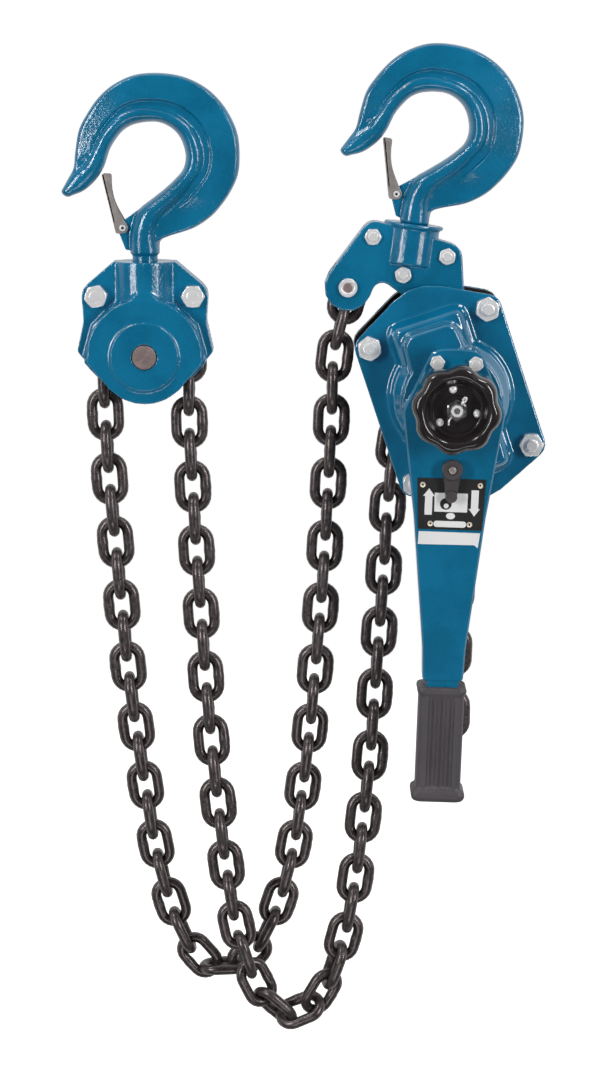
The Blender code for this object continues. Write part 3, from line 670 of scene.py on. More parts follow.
@dataclass
class Chain:
    """Welded load chain, reeved from the yoke through the load block and over the hoist.

    Attributes:
        wire: Wire radius.
        half_width: Distance from a link's middle to the centre of its legs.
        half_length: Distance from a link's middle to the centre of its crowns.
        pitch_radius: Radius of the chain's line on a sheave.
        outer: Outside width of a link.
        block_arc: Angles in degrees at which the chain meets and leaves the block's sheave.
        hoist_arc: The same at the load sheave.
        twist: Links between which the chain turns a quarter about its own line.
        line: Points of the chain's middle, with a short straight lead beyond either end.
        along: Length along the line at each point, from the yoke.
        joins: Length at which each stretch of the line ends.
    """

    wire: float = 4.95
    half_width: float = 12.0
    half_length: float = 20.0
    pitch_radius: float = 39.5
    # outer: Outside width of a link; not used.
    outer: float = 34.0
    block_arc: Pair = (184.0, -4.0)
    hoist_arc: Pair = (162.0, 10.0)
    twist: Pair = (64.0, 71.0)
    line: np.ndarray = field(init=False)
    along: np.ndarray = field(init=False)
    joins: list[float] = field(init=False)

    def __post_init__(self) -> None:
        """Lay the chain's whole line and measure along it."""
        stretches = [
            smooth_rows(np.array(ANCHOR_ROUTE, float), 12), self.arc(BLOCK_PLACE, *self.block_arc),
            smooth_rows(np.array(HOIST_ROUTE, float), 12), self.arc(HOIST_PLACE, *self.hoist_arc),
            smooth_rows(np.array(FREE_ROUTE, float), 12),
        ]
        first, last = stretches[0], stretches[-1]
        lead, tail = 8 * first[0] - 7 * first[1], 8 * last[-1] - 7 * last[-2]
        self.line = np.vstack([lead, *stretches, tail])
        self.along = np.concatenate([[0.0], np.cumsum(np.linalg.norm(np.diff(self.line, axis=0), axis=1))])
        self.along -= self.along[1]
        ends = np.cumsum([len(stretch) for stretch in stretches])
        self.joins = [float(self.along[end]) for end in ends]

    def arc(self, place: Place, first: float, last: float) -> np.ndarray:
        """Points of the chain's line round a sheave, from one angle to another in degrees."""
        turns = np.radians(np.linspace(first, last, 25))
        return np.stack([place.x + self.pitch_radius * np.cos(turns), 0 * turns,
                         place.z + self.pitch_radius * np.sin(turns)], axis=1)

    def point(self, s: float) -> np.ndarray:
        """The line's point at a length along it."""
        return np.array([np.interp(s, self.along, self.line[:, k]) for k in range(3)])

    def station(self, index: float) -> float:
        """Length along the line of a link's middle; link 0 is the first whole one below the yoke."""
        block, hoist = self.joins[1], self.joins[3]
        marks = ((-3, -48.4), (0, 41.0), (18, 572.2), (24, 755.3), (40, 1233.4), (48, block + 60.5),
                 (66, block + 600.4), (69, block + 690.0), (85, block + 1160.7), (104, hoist + 345.0))
        return float(np.interp(index, [k for k, _ in marks], [s for _, s in marks]))

    def link(self) -> Form:
        """One link along X in the XZ plane, with the bulge of its weld."""
        straight = self.half_length - self.half_width
        around, sides = 32, 12
        rings = []
        lap = 4 * straight + 2 * math.pi * self.half_width
        for k in range(around):
            s = lap * k / around
            quarter = 2 * straight
            if s < quarter:
                middle, out = (straight - s, self.half_width), (0.0, 1.0)
            elif s < quarter + math.pi * self.half_width:
                turn = math.pi / 2 + (s - quarter) / self.half_width
                out = (math.cos(turn), math.sin(turn))
                middle = (-straight + self.half_width * out[0], self.half_width * out[1])
            elif s < 2 * quarter + math.pi * self.half_width:
                middle = (-straight + s - quarter - math.pi * self.half_width, -self.half_width)
                out = (0.0, -1.0)
            else:
                turn = -math.pi / 2 + (s - 2 * quarter - math.pi * self.half_width) / self.half_width
                out = (math.cos(turn), math.sin(turn))
                middle = (straight + self.half_width * out[0], self.half_width * out[1])
            radius = self.wire
            if middle[1] > self.half_width * 0.9:
                radius += 0.55 * math.exp(-(middle[0] / 2.2) ** 2)
            rings.append([(middle[0] + out[0] * a, b, middle[1] + out[1] * a)
                          for a, b in disc(radius, count=sides)])
        return Form.loft(rings, closed=True)

    def run(self, first: int, last: int) -> Form:
        """Links from one number to another, each turned a quarter from its neighbour."""
        link = self.link()
        points, faces = [], []
        for index in range(first, last + 1):
            head, tail = (self.point(self.station(index + side)) for side in (-0.5, 0.5))
            ahead = (tail - head) / np.linalg.norm(tail - head)
            across = np.cross(ahead, (0.0, 1.0, 0.0))
            across /= np.linalg.norm(across)
            facing = np.cross(across, ahead)
            low, high = self.twist
            roll = math.radians(90.0 * (index % 2) + 90.0 * clamp((index - low) / (high - low)))
            wide = across * math.cos(roll) + facing * math.sin(roll)
            thick = np.cross(wide, ahead)
            placed = link.points @ np.stack([ahead, thick, wide]) + (head + tail) / 2
            faces.extend([k + len(points) * len(link.points) for k in face] for face in link.faces)
            points.append(placed)
        return Form(np.vstack(points), faces)

    def build(self) -> None:
        """Make the three stretches of links and the stop ring."""
        anchor = place_piece("chain_links_anchor", self.run(-2, 45), Finish.CHAIN, "suspension",
                             ("chain_anchor_run", "chain_block_wrap"), 80)
        hoist = place_piece("chain_links_hoist", self.run(46, 88), Finish.CHAIN, "",
                            ("chain_hoist_run",), 80)
        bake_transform(hoist)
        free = place_piece("chain_links_free", self.run(89, 103), Finish.CHAIN, "hoist_body",
                           ("chain_free_run",), 80)
        rim = [(17 + 3.8 * math.cos(t), 3.8 * math.sin(t)) for t in (2 * math.pi * k / 14 for k in range(14))]
        hoop = Form.turned(rim, closed=True)
        hoop.points = hoop.points[:, (1, 0, 2)] + (24.0, 0.0, -608.0)
        ring = place_piece("chain_stop_ring_round", hoop, Finish.ZINC, "hoist_body",
                           ("chain_stop_ring",), 80)


# ---------------------------------------------------------------- hooks

HOOK_EDGES = (
    ((-13.4, -118.5), (13.4, -118.5)), ((-13.4, -108), (14.3, -107)),
    ((-12.0, -94), (22, -102.5)), ((-6, -79), (44, -95.3)), ((7, -68.3), (59.3, -85.6)),
    ((18, -59.7), (69, -75.5)), ((27.5, -51), (78.2, -62.3)), ((35, -42), (84.9, -47.2)),
    ((37.5, -31), (86.6, -30.6)), ((35, -19), (85.1, -12)), ((29.5, -9.5), (79, 4)),
    ((21, -3), (69, 19)), ((12, 0), (55, 31.5)), ((3, 0), (36, 40.5)), ((-4, -1), (14, 43.8)),
    ((-11, -3), (-8, 42)), ((-18.5, -7.5), (-27, 33.5)), ((-25, -15), (-41, 21.5)),
    ((-30.5, -24), (-52, 6)), ((-33.5, -32.5), (-59, -8)), ((-36.5, -40.5), (-62.3, -27)),
    ((-43.5, -51.5), (-64, -41)), ((-54.5, -61.2), (-69.3, -51)), ((-66, -66), (-74, -59.3)),
)


@dataclass
class Hook:
    """Forged swivel hook with a sprung sheet latch.

    Attributes:
        prefix: Name of its CAD nodes.
        place: Where its saddle is.
        body: Its CAD body.
        latch_body: Its latch's CAD body.
        pivot: The latch pin's x and z.
    """

    prefix: str
    place: Place
    body: str
    latch_body: str
    pivot: Pair = (-19.8, -94.7)

    def depth(self, at: float, reach: float, width: float) -> float:
        """Half thickness: a round inner bar, a groove, and a raised web that slopes outwards.

        Args:
            at: Ring number, between the knots of HOOK_EDGES.
            reach: Distance from the inner edge.
            width: Distance between the edges.

        Returns:
            Distance of the surface from the hook's middle plane.
        """
        nose = max(0.0, (at - 14) / 9)
        thick = 15.0 * (1 - 0.5 * nose ** 1.5) - 1.6 * max(0.0, 1 - at / 3)
        share = reach / width
        neck = max(0.0, 1 - at / 6)
        bar_width = min(width, 18.0 + 9.0 * neck ** 0.7)
        if nose > 0.72:
            bar_width += (width - bar_width) * min(1.0, (nose - 0.72) / 0.12)
        off = min(1.0, abs(reach - bar_width / 2) / (bar_width / 2))
        bar = thick * math.sqrt(1 - off ** 2.2)
        wall = clamp((share - 0.455) / 0.035)
        raised = clamp((at - 3.6) / 1.6) * clamp((19.7 + 2.0 * (share - 0.42) - at) / 0.25)
        floor = 0.84 - 0.26 * min(1.0, share / 0.46)
        plateau = floor + (0.79 - 0.2 * max(0.0, share - 0.5) / 0.4 - floor) * wall * raised
        rim = 3.6 / width
        edge = 1.0 if share < 1 - rim else math.sqrt(max(0.0, 1 - ((share - 1 + rim) / rim) ** 2))
        web = thick * plateau * edge if share > 0.1 and at > 1 and nose < 0.84 else 0.0
        return max(bar, web)

    def forging(self) -> Form:
        """Hook body, shank, swivel button and latch lug."""
        edges = smooth_rows(np.array([[*a, *b] for a, b in HOOK_EDGES], float), 5)
        shares = [0.0, 0.012, 0.04, 0.08, *np.linspace(0.12, 0.44, 13), 0.455, 0.465, 0.48, 0.49,
                  *np.linspace(0.51, 0.91, 9), 0.935, 0.955, 0.972, 0.985, 0.995, 1.0]
        rings = []
        for index, (x1, z1, x2, z2) in enumerate(edges):
            width = math.hypot(x2 - x1, z2 - z1)
            side = [(x1 + (x2 - x1) * s, self.depth(index / 5, s * width, width), z1 + (z2 - z1) * s)
                    for s in shares]
            rings.append(side + [(x, -y, z) for x, y, z in reversed(side[1:-1])])
        end = np.array(rings[-1])
        middle = end.mean(axis=0)
        for step in (0.9, 0.72, 0.42):
            push = np.array((-1.0, 0.0, -0.85)) * 3.4 * math.sqrt(1 - step * step)
            rings.append((middle + (end - middle) * step + push).tolist())
        button = [(0, -146), (18, -146), (18, -138), (11.5, -138), (11.5, -112), (0, -112)]
        shank = Form.turned(button, upright=True)
        lug = belt([(*self.pivot, 5.0), (-15.6, -112.5, 2.5), (-8, -108, 3), (4, -74, 2)])
        return Form.loft(rings) + shank + Form.plate(lug, -4.0, 4.0)

    def latch(self) -> Form:
        """Latch bent from sheet: two cheeks on the pin, and a tongue between them up to the nose."""
        edge = belt([(-24, -97.4, 2.4), (*self.pivot, 4.8), (20.2, -54, -50), (-31.7, -48, 1.8),
                     (-36.5, -47.6, 1.6)])
        cheeks = Form.plate(edge, -7.4, -5.6) + Form.plate(edge, 5.6, 7.4)
        tongue = [(-28.0, -89.5), (-26.4, -89.2), (-36.2, -46.4), (-38.0, -46.6)]
        return cheeks + Form.plate(tongue, -7.4, 7.4)

    def build(self) -> None:
        """Make the forging, the latch and its hollow rivet."""
        skin = fused(self.forging().placed(self.place), 0.9, 2)
        place_piece(f"{self.prefix}_hook_forging", skin, Finish.CAST, self.body,
                    (f"{self.prefix}_hook",), 75)
        place_piece(f"{self.prefix}_latch_sheet", bevelled(self.latch().placed(self.place), 0.35),
                    Finish.LATCH, self.latch_body, (f"{self.prefix}_latch",))
        rivet = [(1.2, -7.4), (1.2, -8.4), (1.7, -8.7), (2.7, -8.5), (3.0, -7.9), (2.4, -7.7), (2.4, 7.7),
                 (3.0, 7.9), (2.7, 8.5), (1.7, 8.7), (1.2, 8.4), (1.2, 7.4), (0, 7.4)]
        hollow = Form.turned([(0, -7.4), *rivet], *self.pivot, count=28).placed(self.place)
        place_piece(f"{self.prefix}_latch_rivet", hollow, Finish.ZINC, self.body,
                    (f"{self.prefix}_latch_pin",))


# ---------------------------------------------------------------- yoke

@dataclass
class Yoke:
    """Two cast halves bolted round the top hook's button.

    Attributes:
        bolts: Each bolt's x and z.
        anchor: The chain anchor pin's x and z.
    """

    bolts: tuple[Pair, ...] = ((-36.0, -135.0), (33.0, -144.0), (-4.4, -165.5))
    anchor: Pair = (-52.3, -183.4)

    def build(self) -> None:
        """Make the castings, the bolts with their nuts and the anchor pin."""
        for node in ("yoke_front_half", "yoke_rear_half"):
            place_piece(f"{node}_casting", fused(Form.of_node(node), 0.95, 4), Finish.CAST,
                        "suspension", (node,), 75)
        for index, (x, z) in enumerate(self.bolts):
            head = Fastener(14, 21.8, 16.2, 20 * index).form(x, z)
            nut = Fastener(14, -19.6, -16.2, 20 * index + 8, 2.0, 4.6).form(x, z)
            shank = Form.turned([(0, -18), (4.9, -18), (4.9, 18), (0, 18)], x, z, count=24)
            place_piece(f"yoke_bolt_{index + 1}_hex", (head + nut + shank).placed(HOOK_PLACE), Finish.ZINC,
                        "suspension", (f"yoke_bolt_{index + 1}",))
        x, z = self.anchor
        profile = [(0, -18.3), (4.2, -18.3), (4.6, -18.6), (5.2, -19.6), (6.2, -20), (7.8, -19.9),
                   (8.5, -19.2), (8.6, -16.5), (6, -16.3), (6, 16.3), (8.6, 16.5), (8.6, 19.6), (8, 20), (0, 20)]
        place_piece("chain_anchor_pin_turned", Form.turned(profile, x, z).placed(HOOK_PLACE), Finish.ZINC,
                    "suspension", ("chain_anchor_pin",))
        end = Form.turned([(0, -18.0), (4.15, -18.0), (4.15, -18.7), (3.4, -19.1), (0, -19.2)], x, z)
        place_piece("chain_anchor_pin_end", end.placed(HOOK_PLACE), Finish.AXLE, "suspension")


# ---------------------------------------------------------------- load block

@dataclass
class LoadBlock:
    """Cast load block round its sheave.

    Attributes:
        bolts: Each bolt's x and z.
        gable: Circles of the raised face's pointed top.
        face: Circles of the raised face.
    """

    bolts: tuple[Pair, ...] = ((-44.0, 54.0), (44.0, 54.0))
    gable: tuple[Triple, ...] = ((0, 6, 42), (5, 56.5, 1.5), (-5, 56.5, 1.5))
    face: tuple[Triple, ...] = ((0, 0, 43), (31, -29, 1), (50.5, -5, 1.5), (0, 0, 52), (-50.5, -5, 1.5),
                                (-31, -29, 1))

    def build(self) -> None:
        """Make the castings, bolts and axle, and dress the sheave."""
        for node, side in (("block_front_half", -1), ("block_rear_half", 1)):
            gable = Form.plate(belt(self.gable), *sorted((side * 20, side * 29.6)))
            gable = gable + Form.plate(belt(self.face, 5.0), *sorted((side * 23, side * 30)))
            boss = [(0, side * 28), (31, side * 28), (31, side * 32), (0, side * 32)]
            gable = gable + Form.turned(boss, count=96)
            cut = Form.turned([(0, -60), (11.3, -60), (11.3, 60), (0, 60)])
            skin = fused(Form.of_node(node) + gable.placed(BLOCK_PLACE), 1.0, 4, cut.placed(BLOCK_PLACE))
            place_piece(f"{node}_casting", skin, Finish.CAST, "suspension", (node,), 75)
        for index, ((x, z), side) in enumerate(zip(self.bolts, ("left", "right"))):
            turn = 12 - 12 * index
            head = Fastener(19, -22.6, -14.2, turn).form(x, z)
            nut = Fastener(19, 22, 14.2, turn + 12, 2.8, 6.3).form(x, z)
            shank = Form.turned([(0, -16), (6.4, -16), (6.4, 16), (0, 16)], x, z, count=24)
            place_piece(f"block_bolt_{side}_hex", (head + nut + shank).placed(BLOCK_PLACE), Finish.ZINC,
                        "suspension", (f"block_bolt_{side}",))
        ends = [(0, -33.5), (10.2, -33.5), (10.9, -32.9), (10.9, 32.9), (10.2, 33.5), (0, 33.5)]
        place_piece("block_axle_turned", Form.turned(ends).placed(BLOCK_PLACE), Finish.AXLE, "suspension",
                    ("block_axle",))
        dress(Finish.STEEL, "block_sheave")


# ---------------------------------------------------------------- hoist body

@dataclass
class HoistBody:
    """Side plates, pressed covers, stays and what is inside them.

    Attributes:
        stays: Each stay bolt's x and z.
        nut_turn: Turn of the cover nuts in degrees, nut by nut.
    """

    stays: tuple[Pair, ...] = ((56.0, 65.0), (-56.0, 65.0), (56.0, -65.0), (-56.0, -65.0))
    nut_turn: tuple[float, ...] = (4.0, 21.0, 42.0, 15.0)

    def build(self) -> None:
        """Make the covers and fasteners, and dress the plates and the internals."""
        for node, voxel in (("brake_cover", 1.1), ("gear_cover", 1.2)):
            place_piece(f"{node}_pressing", fused(Form.of_node(node), voxel, 9), Finish.PRESSED, "hoist_body",
                        (node,), 75)
        for node in ("front_side_plate", "rear_side_plate"):
            place_piece(f"{node}_blank", bevelled(Form.of_node(node), 0.5), Finish.PLATE, "hoist_body",
                        (node,))
        for index, ((x, z), turn) in enumerate(zip(self.stays, self.nut_turn)):
            nut = Fastener(20, -38.8, -30.45, turn).form(x, z)
            place_piece(f"cover_nut_{index + 1}_hex", nut.placed(HOIST_PLACE), Finish.ZINC, "hoist_body",
                        (f"cover_nut_{index + 1}",))
            head = Fastener(19, 38.5, 30.5, turn + 10).form(x, z)
            bar = Form.turned([(0, 32), (5.4, 32), (5.4, -38), (5.6, -39.5), (5.3, -40.3), (5.6, -41.1),
                               (5.3, -41.9), (4.6, -42.9), (0, -42.9)], x, z, count=32)
            place_piece(f"stay_bolt_{index + 1}_hex", (head + bar).placed(HOIST_PLACE), Finish.ZINC,
                        "hoist_body", (f"stay_bolt_{index + 1}",))
        dress(Finish.STEEL, "top_pin", "guide_roller_left", "guide_roller_right", "chain_stripper",
              "ratchet_disc", "brake_pawl_left", "brake_pawl_right", "drive_shaft", "brake_hub",
              "change_gear", "load_sheave", "load_gear", "idler_gear_left", "idler_gear_right")
        dress(Finish.LINING, "brake_lining_inner", "brake_lining_outer")


@dataclass
class HandWheel:
    """Pressed hand wheel, castle nut and split pin on the drive shaft's end.

    Attributes:
        lobes: Number of finger lobes.
        phase: Angle of the first lobe in degrees.
        rivets: Angle of each rivet in degrees.
        rivet_ring: Radius of the rivets' circle.
    """

    lobes: int = 8
    phase: float = 17.0
    rivets: tuple[float, ...] = (100.0, 350.0, 217.0)
    rivet_ring: float = 18.3

    def wheel(self) -> Form:
        """The wheel's lobed rim, dish and floor."""
        rows = (
            (8.4, 0, -104), (12, 0, -104), (20, 0.1, -104.9), (26, 0.4, -106.6), (32, 0.9, -109.6),
            (35.4, 1.25, -113), (37.4, 1.5, -117), (38.3, 1.6, -121), (38.5, 1.6, -126),
            (38.1, 1.55, -130.5), (37, 1.45, -134), (35, 1.2, -136.6), (32.6, 0.8, -137.7),
            (30.2, 0.4, -137.6), (28.3, 0.1, -136.2), (26.9, 0, -133.8), (25.6, 0, -130.4),
            (24, 0, -127.6), (22.8, 0, -126.4), (21.6, 0, -125.9), (20.8, 0, -125.2),
            (20.3, 0, -123.8), (12.8, 0, -123.4), (12.2, 0, -124.4), (8.4, 0, -124.4),
        )
        rings = []
        for base, ripple, y in rows:
            ring = []
            for k in range(112):
                turn = 2 * math.pi * k / 112
                wave = math.cos(self.lobes * (turn - math.radians(self.phase)))
                radius = base + ripple * (wave - 0.25 * (wave * wave - 0.5))
                ring.append((radius * math.cos(turn), y, radius * math.sin(turn)))
            rings.append(ring)
        return Form.loft(rings, closed=True)

    def build(self) -> None:
        """Make the wheel, its rivets, the castle nut and the split pin."""
        place_piece("hand_wheel_pressing", self.wheel().placed(HOIST_PLACE), Finish.BLACK, "drive",
                    ("hand_wheel",), 50)
        for index, angle in enumerate(self.rivets):
            turn = math.radians(angle)
            x, z = self.rivet_ring * math.cos(turn), self.rivet_ring * math.sin(turn)
            local = Place(HOIST_PLACE.x, HOIST_PLACE.z)
            dome = Form.turned([(0, -123.2), (3.7, -123.2), (3.6, -124.4), (2.9, -125.3), (1.6, -125.8),
                                (0, -126)], x, z, count=28)
            place_piece(f"hand_wheel_rivet_{index + 1}", dome.placed(local), Finish.ZINC, "drive")
        rings = [hex_ring(17, 17 * limit, y, 0, 0, 12)
                 for y, limit in ((-124.6, 0.6), (-129.4, 0.6), (-130.2, 0.54), (-130.9, 0.47))]
        slots = [Form.plate(rectangle(24, 2.6, 0.6), -134, -128.4).placed(Place(0, 0, 60 * k))
                 for k in range(3)]
        cut = slots[0] + Form.turned([(0, -140), (7.2, -140), (7.2, -120), (0, -120)], count=32)
        nut = applied(Form.loft(rings).placed(HOIST_PLACE),
                      ("BOOLEAN", {"operation": "DIFFERENCE", "solver": "EXACT", "use_self": True,
                                   "object": (cut + slots[1] + slots[2]).placed(HOIST_PLACE)}))
        place_piece("castle_nut_slotted", nut, Finish.STEEL, "drive", ("castle_nut",), 30)
        end = Form.turned([(5.6, -131), (5.6, -133.5), (5.0, -134.2), (2.9, -134.3), (2.4, -133.2),
                           (2.0, -131.4), (0, -131.2), (0, -131)], count=36)
        place_piece("drive_shaft_end", end.placed(HOIST_PLACE), Finish.ZINC, "drive")
        self.split_pin()

    def split_pin(self) -> None:
        """Split pin through the nut: two legs bent apart and an eye."""
        legs = (
            ((9.8, -130.2, 5.6), (5.5, -130.8, 3.6), (0, -130.6, 0), (-6.8, -130.6, -4.4),
             (-9.4, -131.6, -6.2), (-10.6, -131.4, -9.6)),
            ((9.8, -130.2, 5.6), (11.4, -130.4, 7.4), (10.2, -130.6, 9.0), (8.2, -130.6, 7.2),
             (5, -130.2, 3.4)),
        )
        made = None
        for leg in legs:
            points = smooth_rows(np.array(leg, float), 6)
            rings = []
            for index, point in enumerate(points):
                before, after = points[max(index - 1, 0)], points[min(index + 1, len(points) - 1)]
                ahead = Vector(after - before).normalized()
                side = ahead.cross(Vector((0, 1, 0))).normalized()
                up = side.cross(ahead)
                rings.append([tuple(Vector(point) + (side * math.cos(t) + up * math.sin(t)) * 0.85)
                              for t in (2 * math.pi * k / 10 for k in range(10))])
            leg_form = Form.loft(rings)
            made = leg_form if made is None else made + leg_form
        place_piece("split_pin", made.placed(HOIST_PLACE), Finish.ZINC, "drive", (), 80)


# ---------------------------------------------------------------- lever

@dataclass
class Lever:
    """Pressed hand lever with its printed plate, selector and moulded grip.

    Attributes:
        front: y of its front face.
        back: y of its rear face.
        bolts: Head bolts' x and z.
        selector_z: z of the selector's axis.
        grip: z of the grip's top and bottom.
        flutes: Number of grooves on the grip's front and back.
        pitch: Width of a groove.
    """

    front: float = -98.0
    back: float = -70.0
    bolts: tuple[Pair, ...] = ((-17.0, 38.0), (17.0, 38.0))
    selector_z: float = -56.0
    grip: Pair = (-255.0, -361.0)
    flutes: int = 6
    pitch: float = 3.9

    def build(self) -> None:
        """Make the lever's pressings, fittings, plate and grip."""
        for node in ("lever_front_half", "lever_rear_half"):
            place_piece(f"{node}_pressing", bevelled(Form.of_node(node), 1.1, 3), Finish.LEVER, "lever",
                        (node,))
        for index, (x, z) in enumerate(self.bolts):
            head = Fastener(12, -103.6, -98.3, 12 + 30 * index).form(x, z)
            bar = Form.turned([(0, -100), (3.4, -100), (3.4, -71), (0, -71)], x, z, count=24)
            place_piece(f"lever_bolt_{index + 1}_hex", (head + bar).placed(LEVER_PLACE), Finish.ZINC,
                        "lever", (f"lever_bolt_{index + 1}",))
        self.build_selector()
        self.build_plate()
        self.build_grip()

    def build_selector(self) -> None:
        """Selector knob with its arm, screw end and washer, and the feed pawl."""
        z = self.selector_z
        arm = belt([(0, z, 8.6), (0.0, z - 24, 5.2)])
        rings = [[(x * k, y, (v - z) * k + z) for x, v in arm]
                 for y, k in ((-98.5, 1.0), (-102.4, 1.0), (-104.2, 0.97), (-105.0, 0.9))]
        tip = Form.turned([(0, -104), (5.3, -104), (5.3, -107.2), (4.6, -108.2), (0, -108.5)], 0, z - 24)
        cap = Form.turned([(0, -103), (9.2, -103), (9.2, -107.6), (8.4, -108.8), (4.6, -109), (4.4, -108.2),
                           (0, -108.2)], 0, z)
        stem = Form.turned([(0, -104), (4.9, -104), (4.9, -73.6), (0, -73.6)], 0, z)
        place_piece("selector_lever", (Form.loft(rings) + tip + cap + stem).placed(LEVER_PLACE), Finish.KNOB,
                    "selector", ("selector_knob",), 40)
        dress(Finish.STEEL, "feed_pawl")
        screw = Form.turned([(0, -108.1), (3.2, -108.1), (3.2, -108.7), (2.6, -109), (0, -109)], 0, z)
        place_piece("selector_screw", screw.placed(LEVER_PLACE), Finish.LATCH, "selector")

    def build_plate(self) -> None:
        """Printed plate: arrows, window, oval and pill on black, with four eyelets, and a blank strip."""
        def print_on(name: str, outlines: Sequence[Outline], low: float, high: float, finish: Finish) -> None:
            """Lay flat shapes on the lever's front between two heights."""
            made = Form([], [])
            for outline in outlines:
                made = made + Form.plate(outline, self.front - high, self.front - low)
            place_piece(name, made.placed(LEVER_PLACE), finish, "lever")

        corners = [(28.0, -110.0, 0.8), (30.0, -65.6, 0.8), (-29.4, -65.6, 0.8), (-27.0, -110.0, 0.8)]
        print_on("label_plate", [belt(corners, 45)], 0.05, 0.55, Finish.LABEL)
        up = [(-24.6, -81.0), (-22.8, -81.0), (-22.8, -97.8), (-16.2, -97.8), (-16.2, -81.0), (-14.2, -81.0),
              (-19.4, -74.0)]
        down = [(26.4, -91.4), (24.8, -91.4), (24.8, -74.6), (18.2, -74.6), (18.2, -91.4), (16.2, -91.4),
                (21.4, -98.2)]
        window = rectangle(29.4, 17.0, 0.6, 0.4, -86.3)
        oval = [(0.5 + 4.0 * x, -98.4 + 2.9 * z) for x, z in disc(1.0, count=32)]
        pill = rectangle(29.0, 5.6, 2.6, 0.2, -105.8)
        print_on("label_marks", [up, down[::-1], window, oval, pill], 0.5, 0.72, Finish.INK)
        print_on("label_window_spot", [disc(5.2, -4.1, -87.6)], 0.7, 0.8, Finish.LABEL)
        print_on("label_window_dot", [disc(2.2, -3.8, -89.4)], 0.78, 0.88, Finish.INK)
        strip = [(27.6, -113.2), (-27.2, -112.9), (-27.6, -124.6), (22.6, -124.2), (26.0, -126.8)]
        print_on("blank_strip", [strip[::-1]], 0.05, 0.3, Finish.INK)
        for index, (x, z) in enumerate(((-25.2, -71.0), (25.8, -70.4), (-17.2, -105.8), (17.6, -105.8))):
            eyelet = [(0.9, -98.5), (0.9, -98.9), (1.5, -99.25), (2.2, -99.1), (2.6, -98.5)]
            place_piece(f"label_eyelet_{index + 1}", Form.turned(eyelet, x, z, count=28, closed=True)
                        .placed(LEVER_PLACE), Finish.BRASS, "lever")

    def build_grip(self) -> None:
        """Moulded grip with a collar, flutes down its faces and an end flange."""
        top, bottom = self.grip
        stations = [(top, 20.6, 16.6), (top - 0.8, 21.6, 17.5), (top - 2.5, 22.2, 18), (top - 4.6, 22.2, 18),
                    (top - 6.4, 21.6, 17.5), (top - 7.6, 20.7, 16.9), (top - 9, 20.4, 16.7)]
        stations += [(z, 20.4, 16.7) for z in np.linspace(top - 11, bottom + 15, 14)]
        stations += [(bottom + 13, 20.4, 16.7), (bottom + 11.5, 20.8, 17), (bottom + 10.4, 22.2, 18.2),
                     (bottom + 9, 23.6, 19.4), (bottom + 7, 24.3, 20), (bottom + 4.6, 24.3, 20),
                     (bottom + 2.4, 23.6, 19.4), (bottom + 0.8, 22.4, 18.4), (bottom, 21, 17.2)]
        middle = (self.front + self.back) / 2
        rings = []
        for z, half_x, half_y in stations:
            fade = clamp((top - 9 - z) / 3) * clamp((z - bottom - 12) / 3)
            ring = []
            corner = [(6 * math.cos(t), 6 * math.sin(t)) for t in np.radians(np.linspace(0, 90, 9))]
            for side in (1, -1):
                ring += [(side * (half_x - 6 + x), side * (half_y - 6 + y)) for x, y in corner]
                for x in np.linspace(half_x - 6.2, 6.2 - half_x, 85):
                    groove = (x + self.flutes * self.pitch / 2) / self.pitch
                    inside = 0 <= groove <= self.flutes
                    cut = 1.5 * fade * max(0.0, math.sin(math.pi * (groove % 1.0))) ** 0.6 if inside else 0.0
                    ring.append((side * x, side * (half_y - cut)))
                ring += [(side * (6 - half_x - y), side * (half_y - 6 + x)) for x, y in corner[:-1]]
            rings.append([(x, y + middle, z) for x, y in ring])
        place_piece("lever_grip_moulding", Form.loft(rings).placed(LEVER_PLACE), Finish.RUBBER, "lever",
                    ("lever_grip",), 45)


# ---------------------------------------------------------------- stage

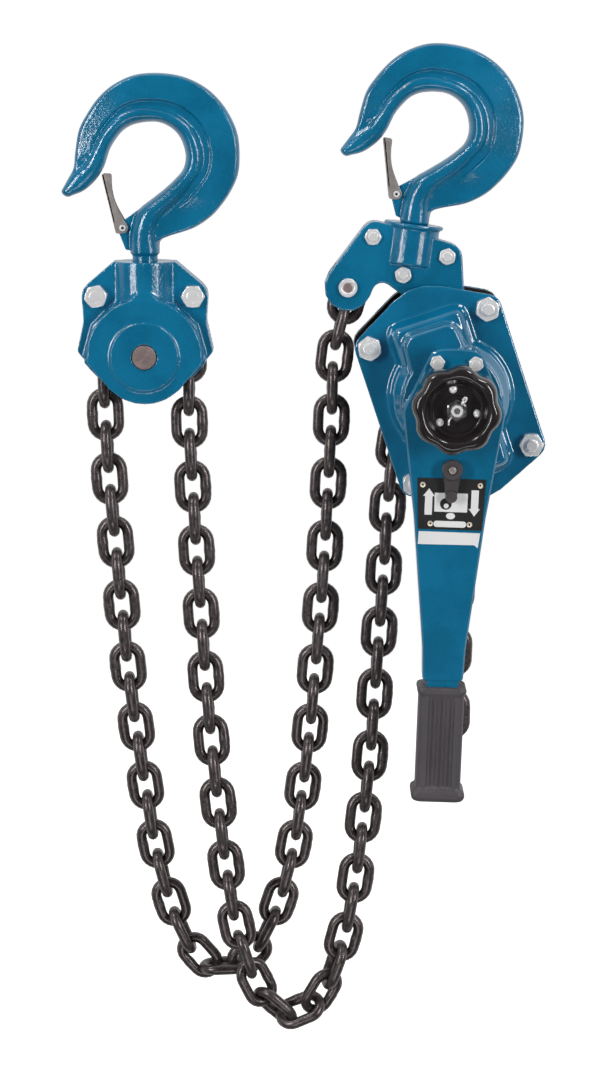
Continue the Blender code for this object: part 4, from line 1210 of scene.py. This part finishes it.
@dataclass
class Studio:
    """Camera, soft lights and a pale floor.

    Attributes:
        eye: Camera's place in millimetres.
        pitch: How far it looks down, in degrees.
        lens: Focal length in millimetres.
        floor_z: Height of the floor in millimetres.
    """

    eye: Triple = (-119.45, -2400.0, 25.74)
    pitch: float = 10.3
    lens: float = 87.6
    floor_z: float = -1700.0

    def light(self, name: str, place: Triple, target: Triple, size: Pair, power: float) -> None:
        """Soft box that looks at a target; places and sizes are in metres."""
        lamp = bpy.data.lights.new(name, "AREA")
        lamp.shape = "RECTANGLE"
        lamp.size, lamp.size_y = size
        lamp.energy = power
        holder = bpy.data.objects.new(name, lamp)
        holder.location = place
        holder.rotation_euler = (Vector(target) - Vector(place)).to_track_quat("-Z", "Y").to_euler()
        bpy.context.scene.collection.objects.link(holder)

    def camera(self) -> None:
        """Camera at the height of the hooks, looking slightly down."""
        data = bpy.data.cameras.new("camera")
        data.lens = self.lens
        data.sensor_width = 36.0
        holder = bpy.data.objects.new("camera", data)
        holder.location = Vector(self.eye) * MM
        holder.rotation_euler = (math.radians(90 - self.pitch), 0, 0)
        bpy.context.scene.collection.objects.link(holder)
        bpy.context.scene.camera = holder

    def build(self) -> None:
        """Set up the camera, the lights, the world and the floor."""
        self.camera()
        scene = bpy.context.scene
        scene.view_settings.view_transform = "Standard"
        for side in (-1, 1):
            self.light("side_box", (side * 1.65 - 0.1, -1.75, 0.15), (-0.1, 0, -0.4), (0.25, 1.3), 25)
            self.light("high_strip", (side * 1.2 - 0.1, -0.6, 1.5), (-0.1, 0, -0.2), (0.4, 0.4), 9)
        self.light("low_box", (-0.1, -1.9, -1.5), (-0.1, 0, -0.4), (1.2, 0.3), 6)
        world = bpy.data.worlds.new("studio")
        world.use_nodes = True
        sky = Graph(world.node_tree)
        forward = sky.node("ShaderNodeSeparateXYZ", None, {0: sky.node("ShaderNodeTexCoord")}, output="Y")
        background = world.node_tree.nodes["Background"]
        sky.feed(background.inputs["Strength"], 0.05 + 0.75 * forward.ramp(-0.4, 0.3))
        background.inputs["Color"].default_value = (1.0, 1.0, 1.0, 1.0)
        scene.world = world
        shade = Shade("pale_floor")
        shade.set(base_color=(0.9, 0.9, 0.9, 1.0), roughness=0.9, emission_color=(1.0, 1.0, 1.0, 1.0),
                  emission_strength=0.85)
        for name, outline in (
            ("floor", [(-9, -9, 0), (9, -9, 0), (9, 5, 0), (-9, 5, 0)]),
            ("backdrop", [(-9, 5, 0), (9, 5, 0), (9, 5, 8), (-9, 5, 8)]),
        ):
            mesh = Form([[v * 1000 for v in point] for point in outline], [[0, 1, 2, 3]]).mesh()
            mesh.transform(Matrix.Translation((0, 0, self.floor_z * MM)))
            mesh.materials.append(shade.material)
            holder = bpy.data.objects.new(name, mesh)
            holder.visible_diffuse = False
            holder.visible_glossy = False
            scene.collection.objects.link(holder)


def main() -> None:
    """Build every sub-assembly in order."""
    logging.basicConfig(level=logging.INFO, format="%(message)s")
    parts = (
        Studio(),
        Chain(),
        Hook("top", HOOK_PLACE, "top_hook", "top_latch"),
        Hook("bottom", BLOCK_HOOK_PLACE, "load_hook", "load_latch"),
        Yoke(),
        LoadBlock(),
        HoistBody(),
        HandWheel(),
        Lever(),
    )
    for part in parts:
        part.build()


if __name__ == "__main__":
    main()
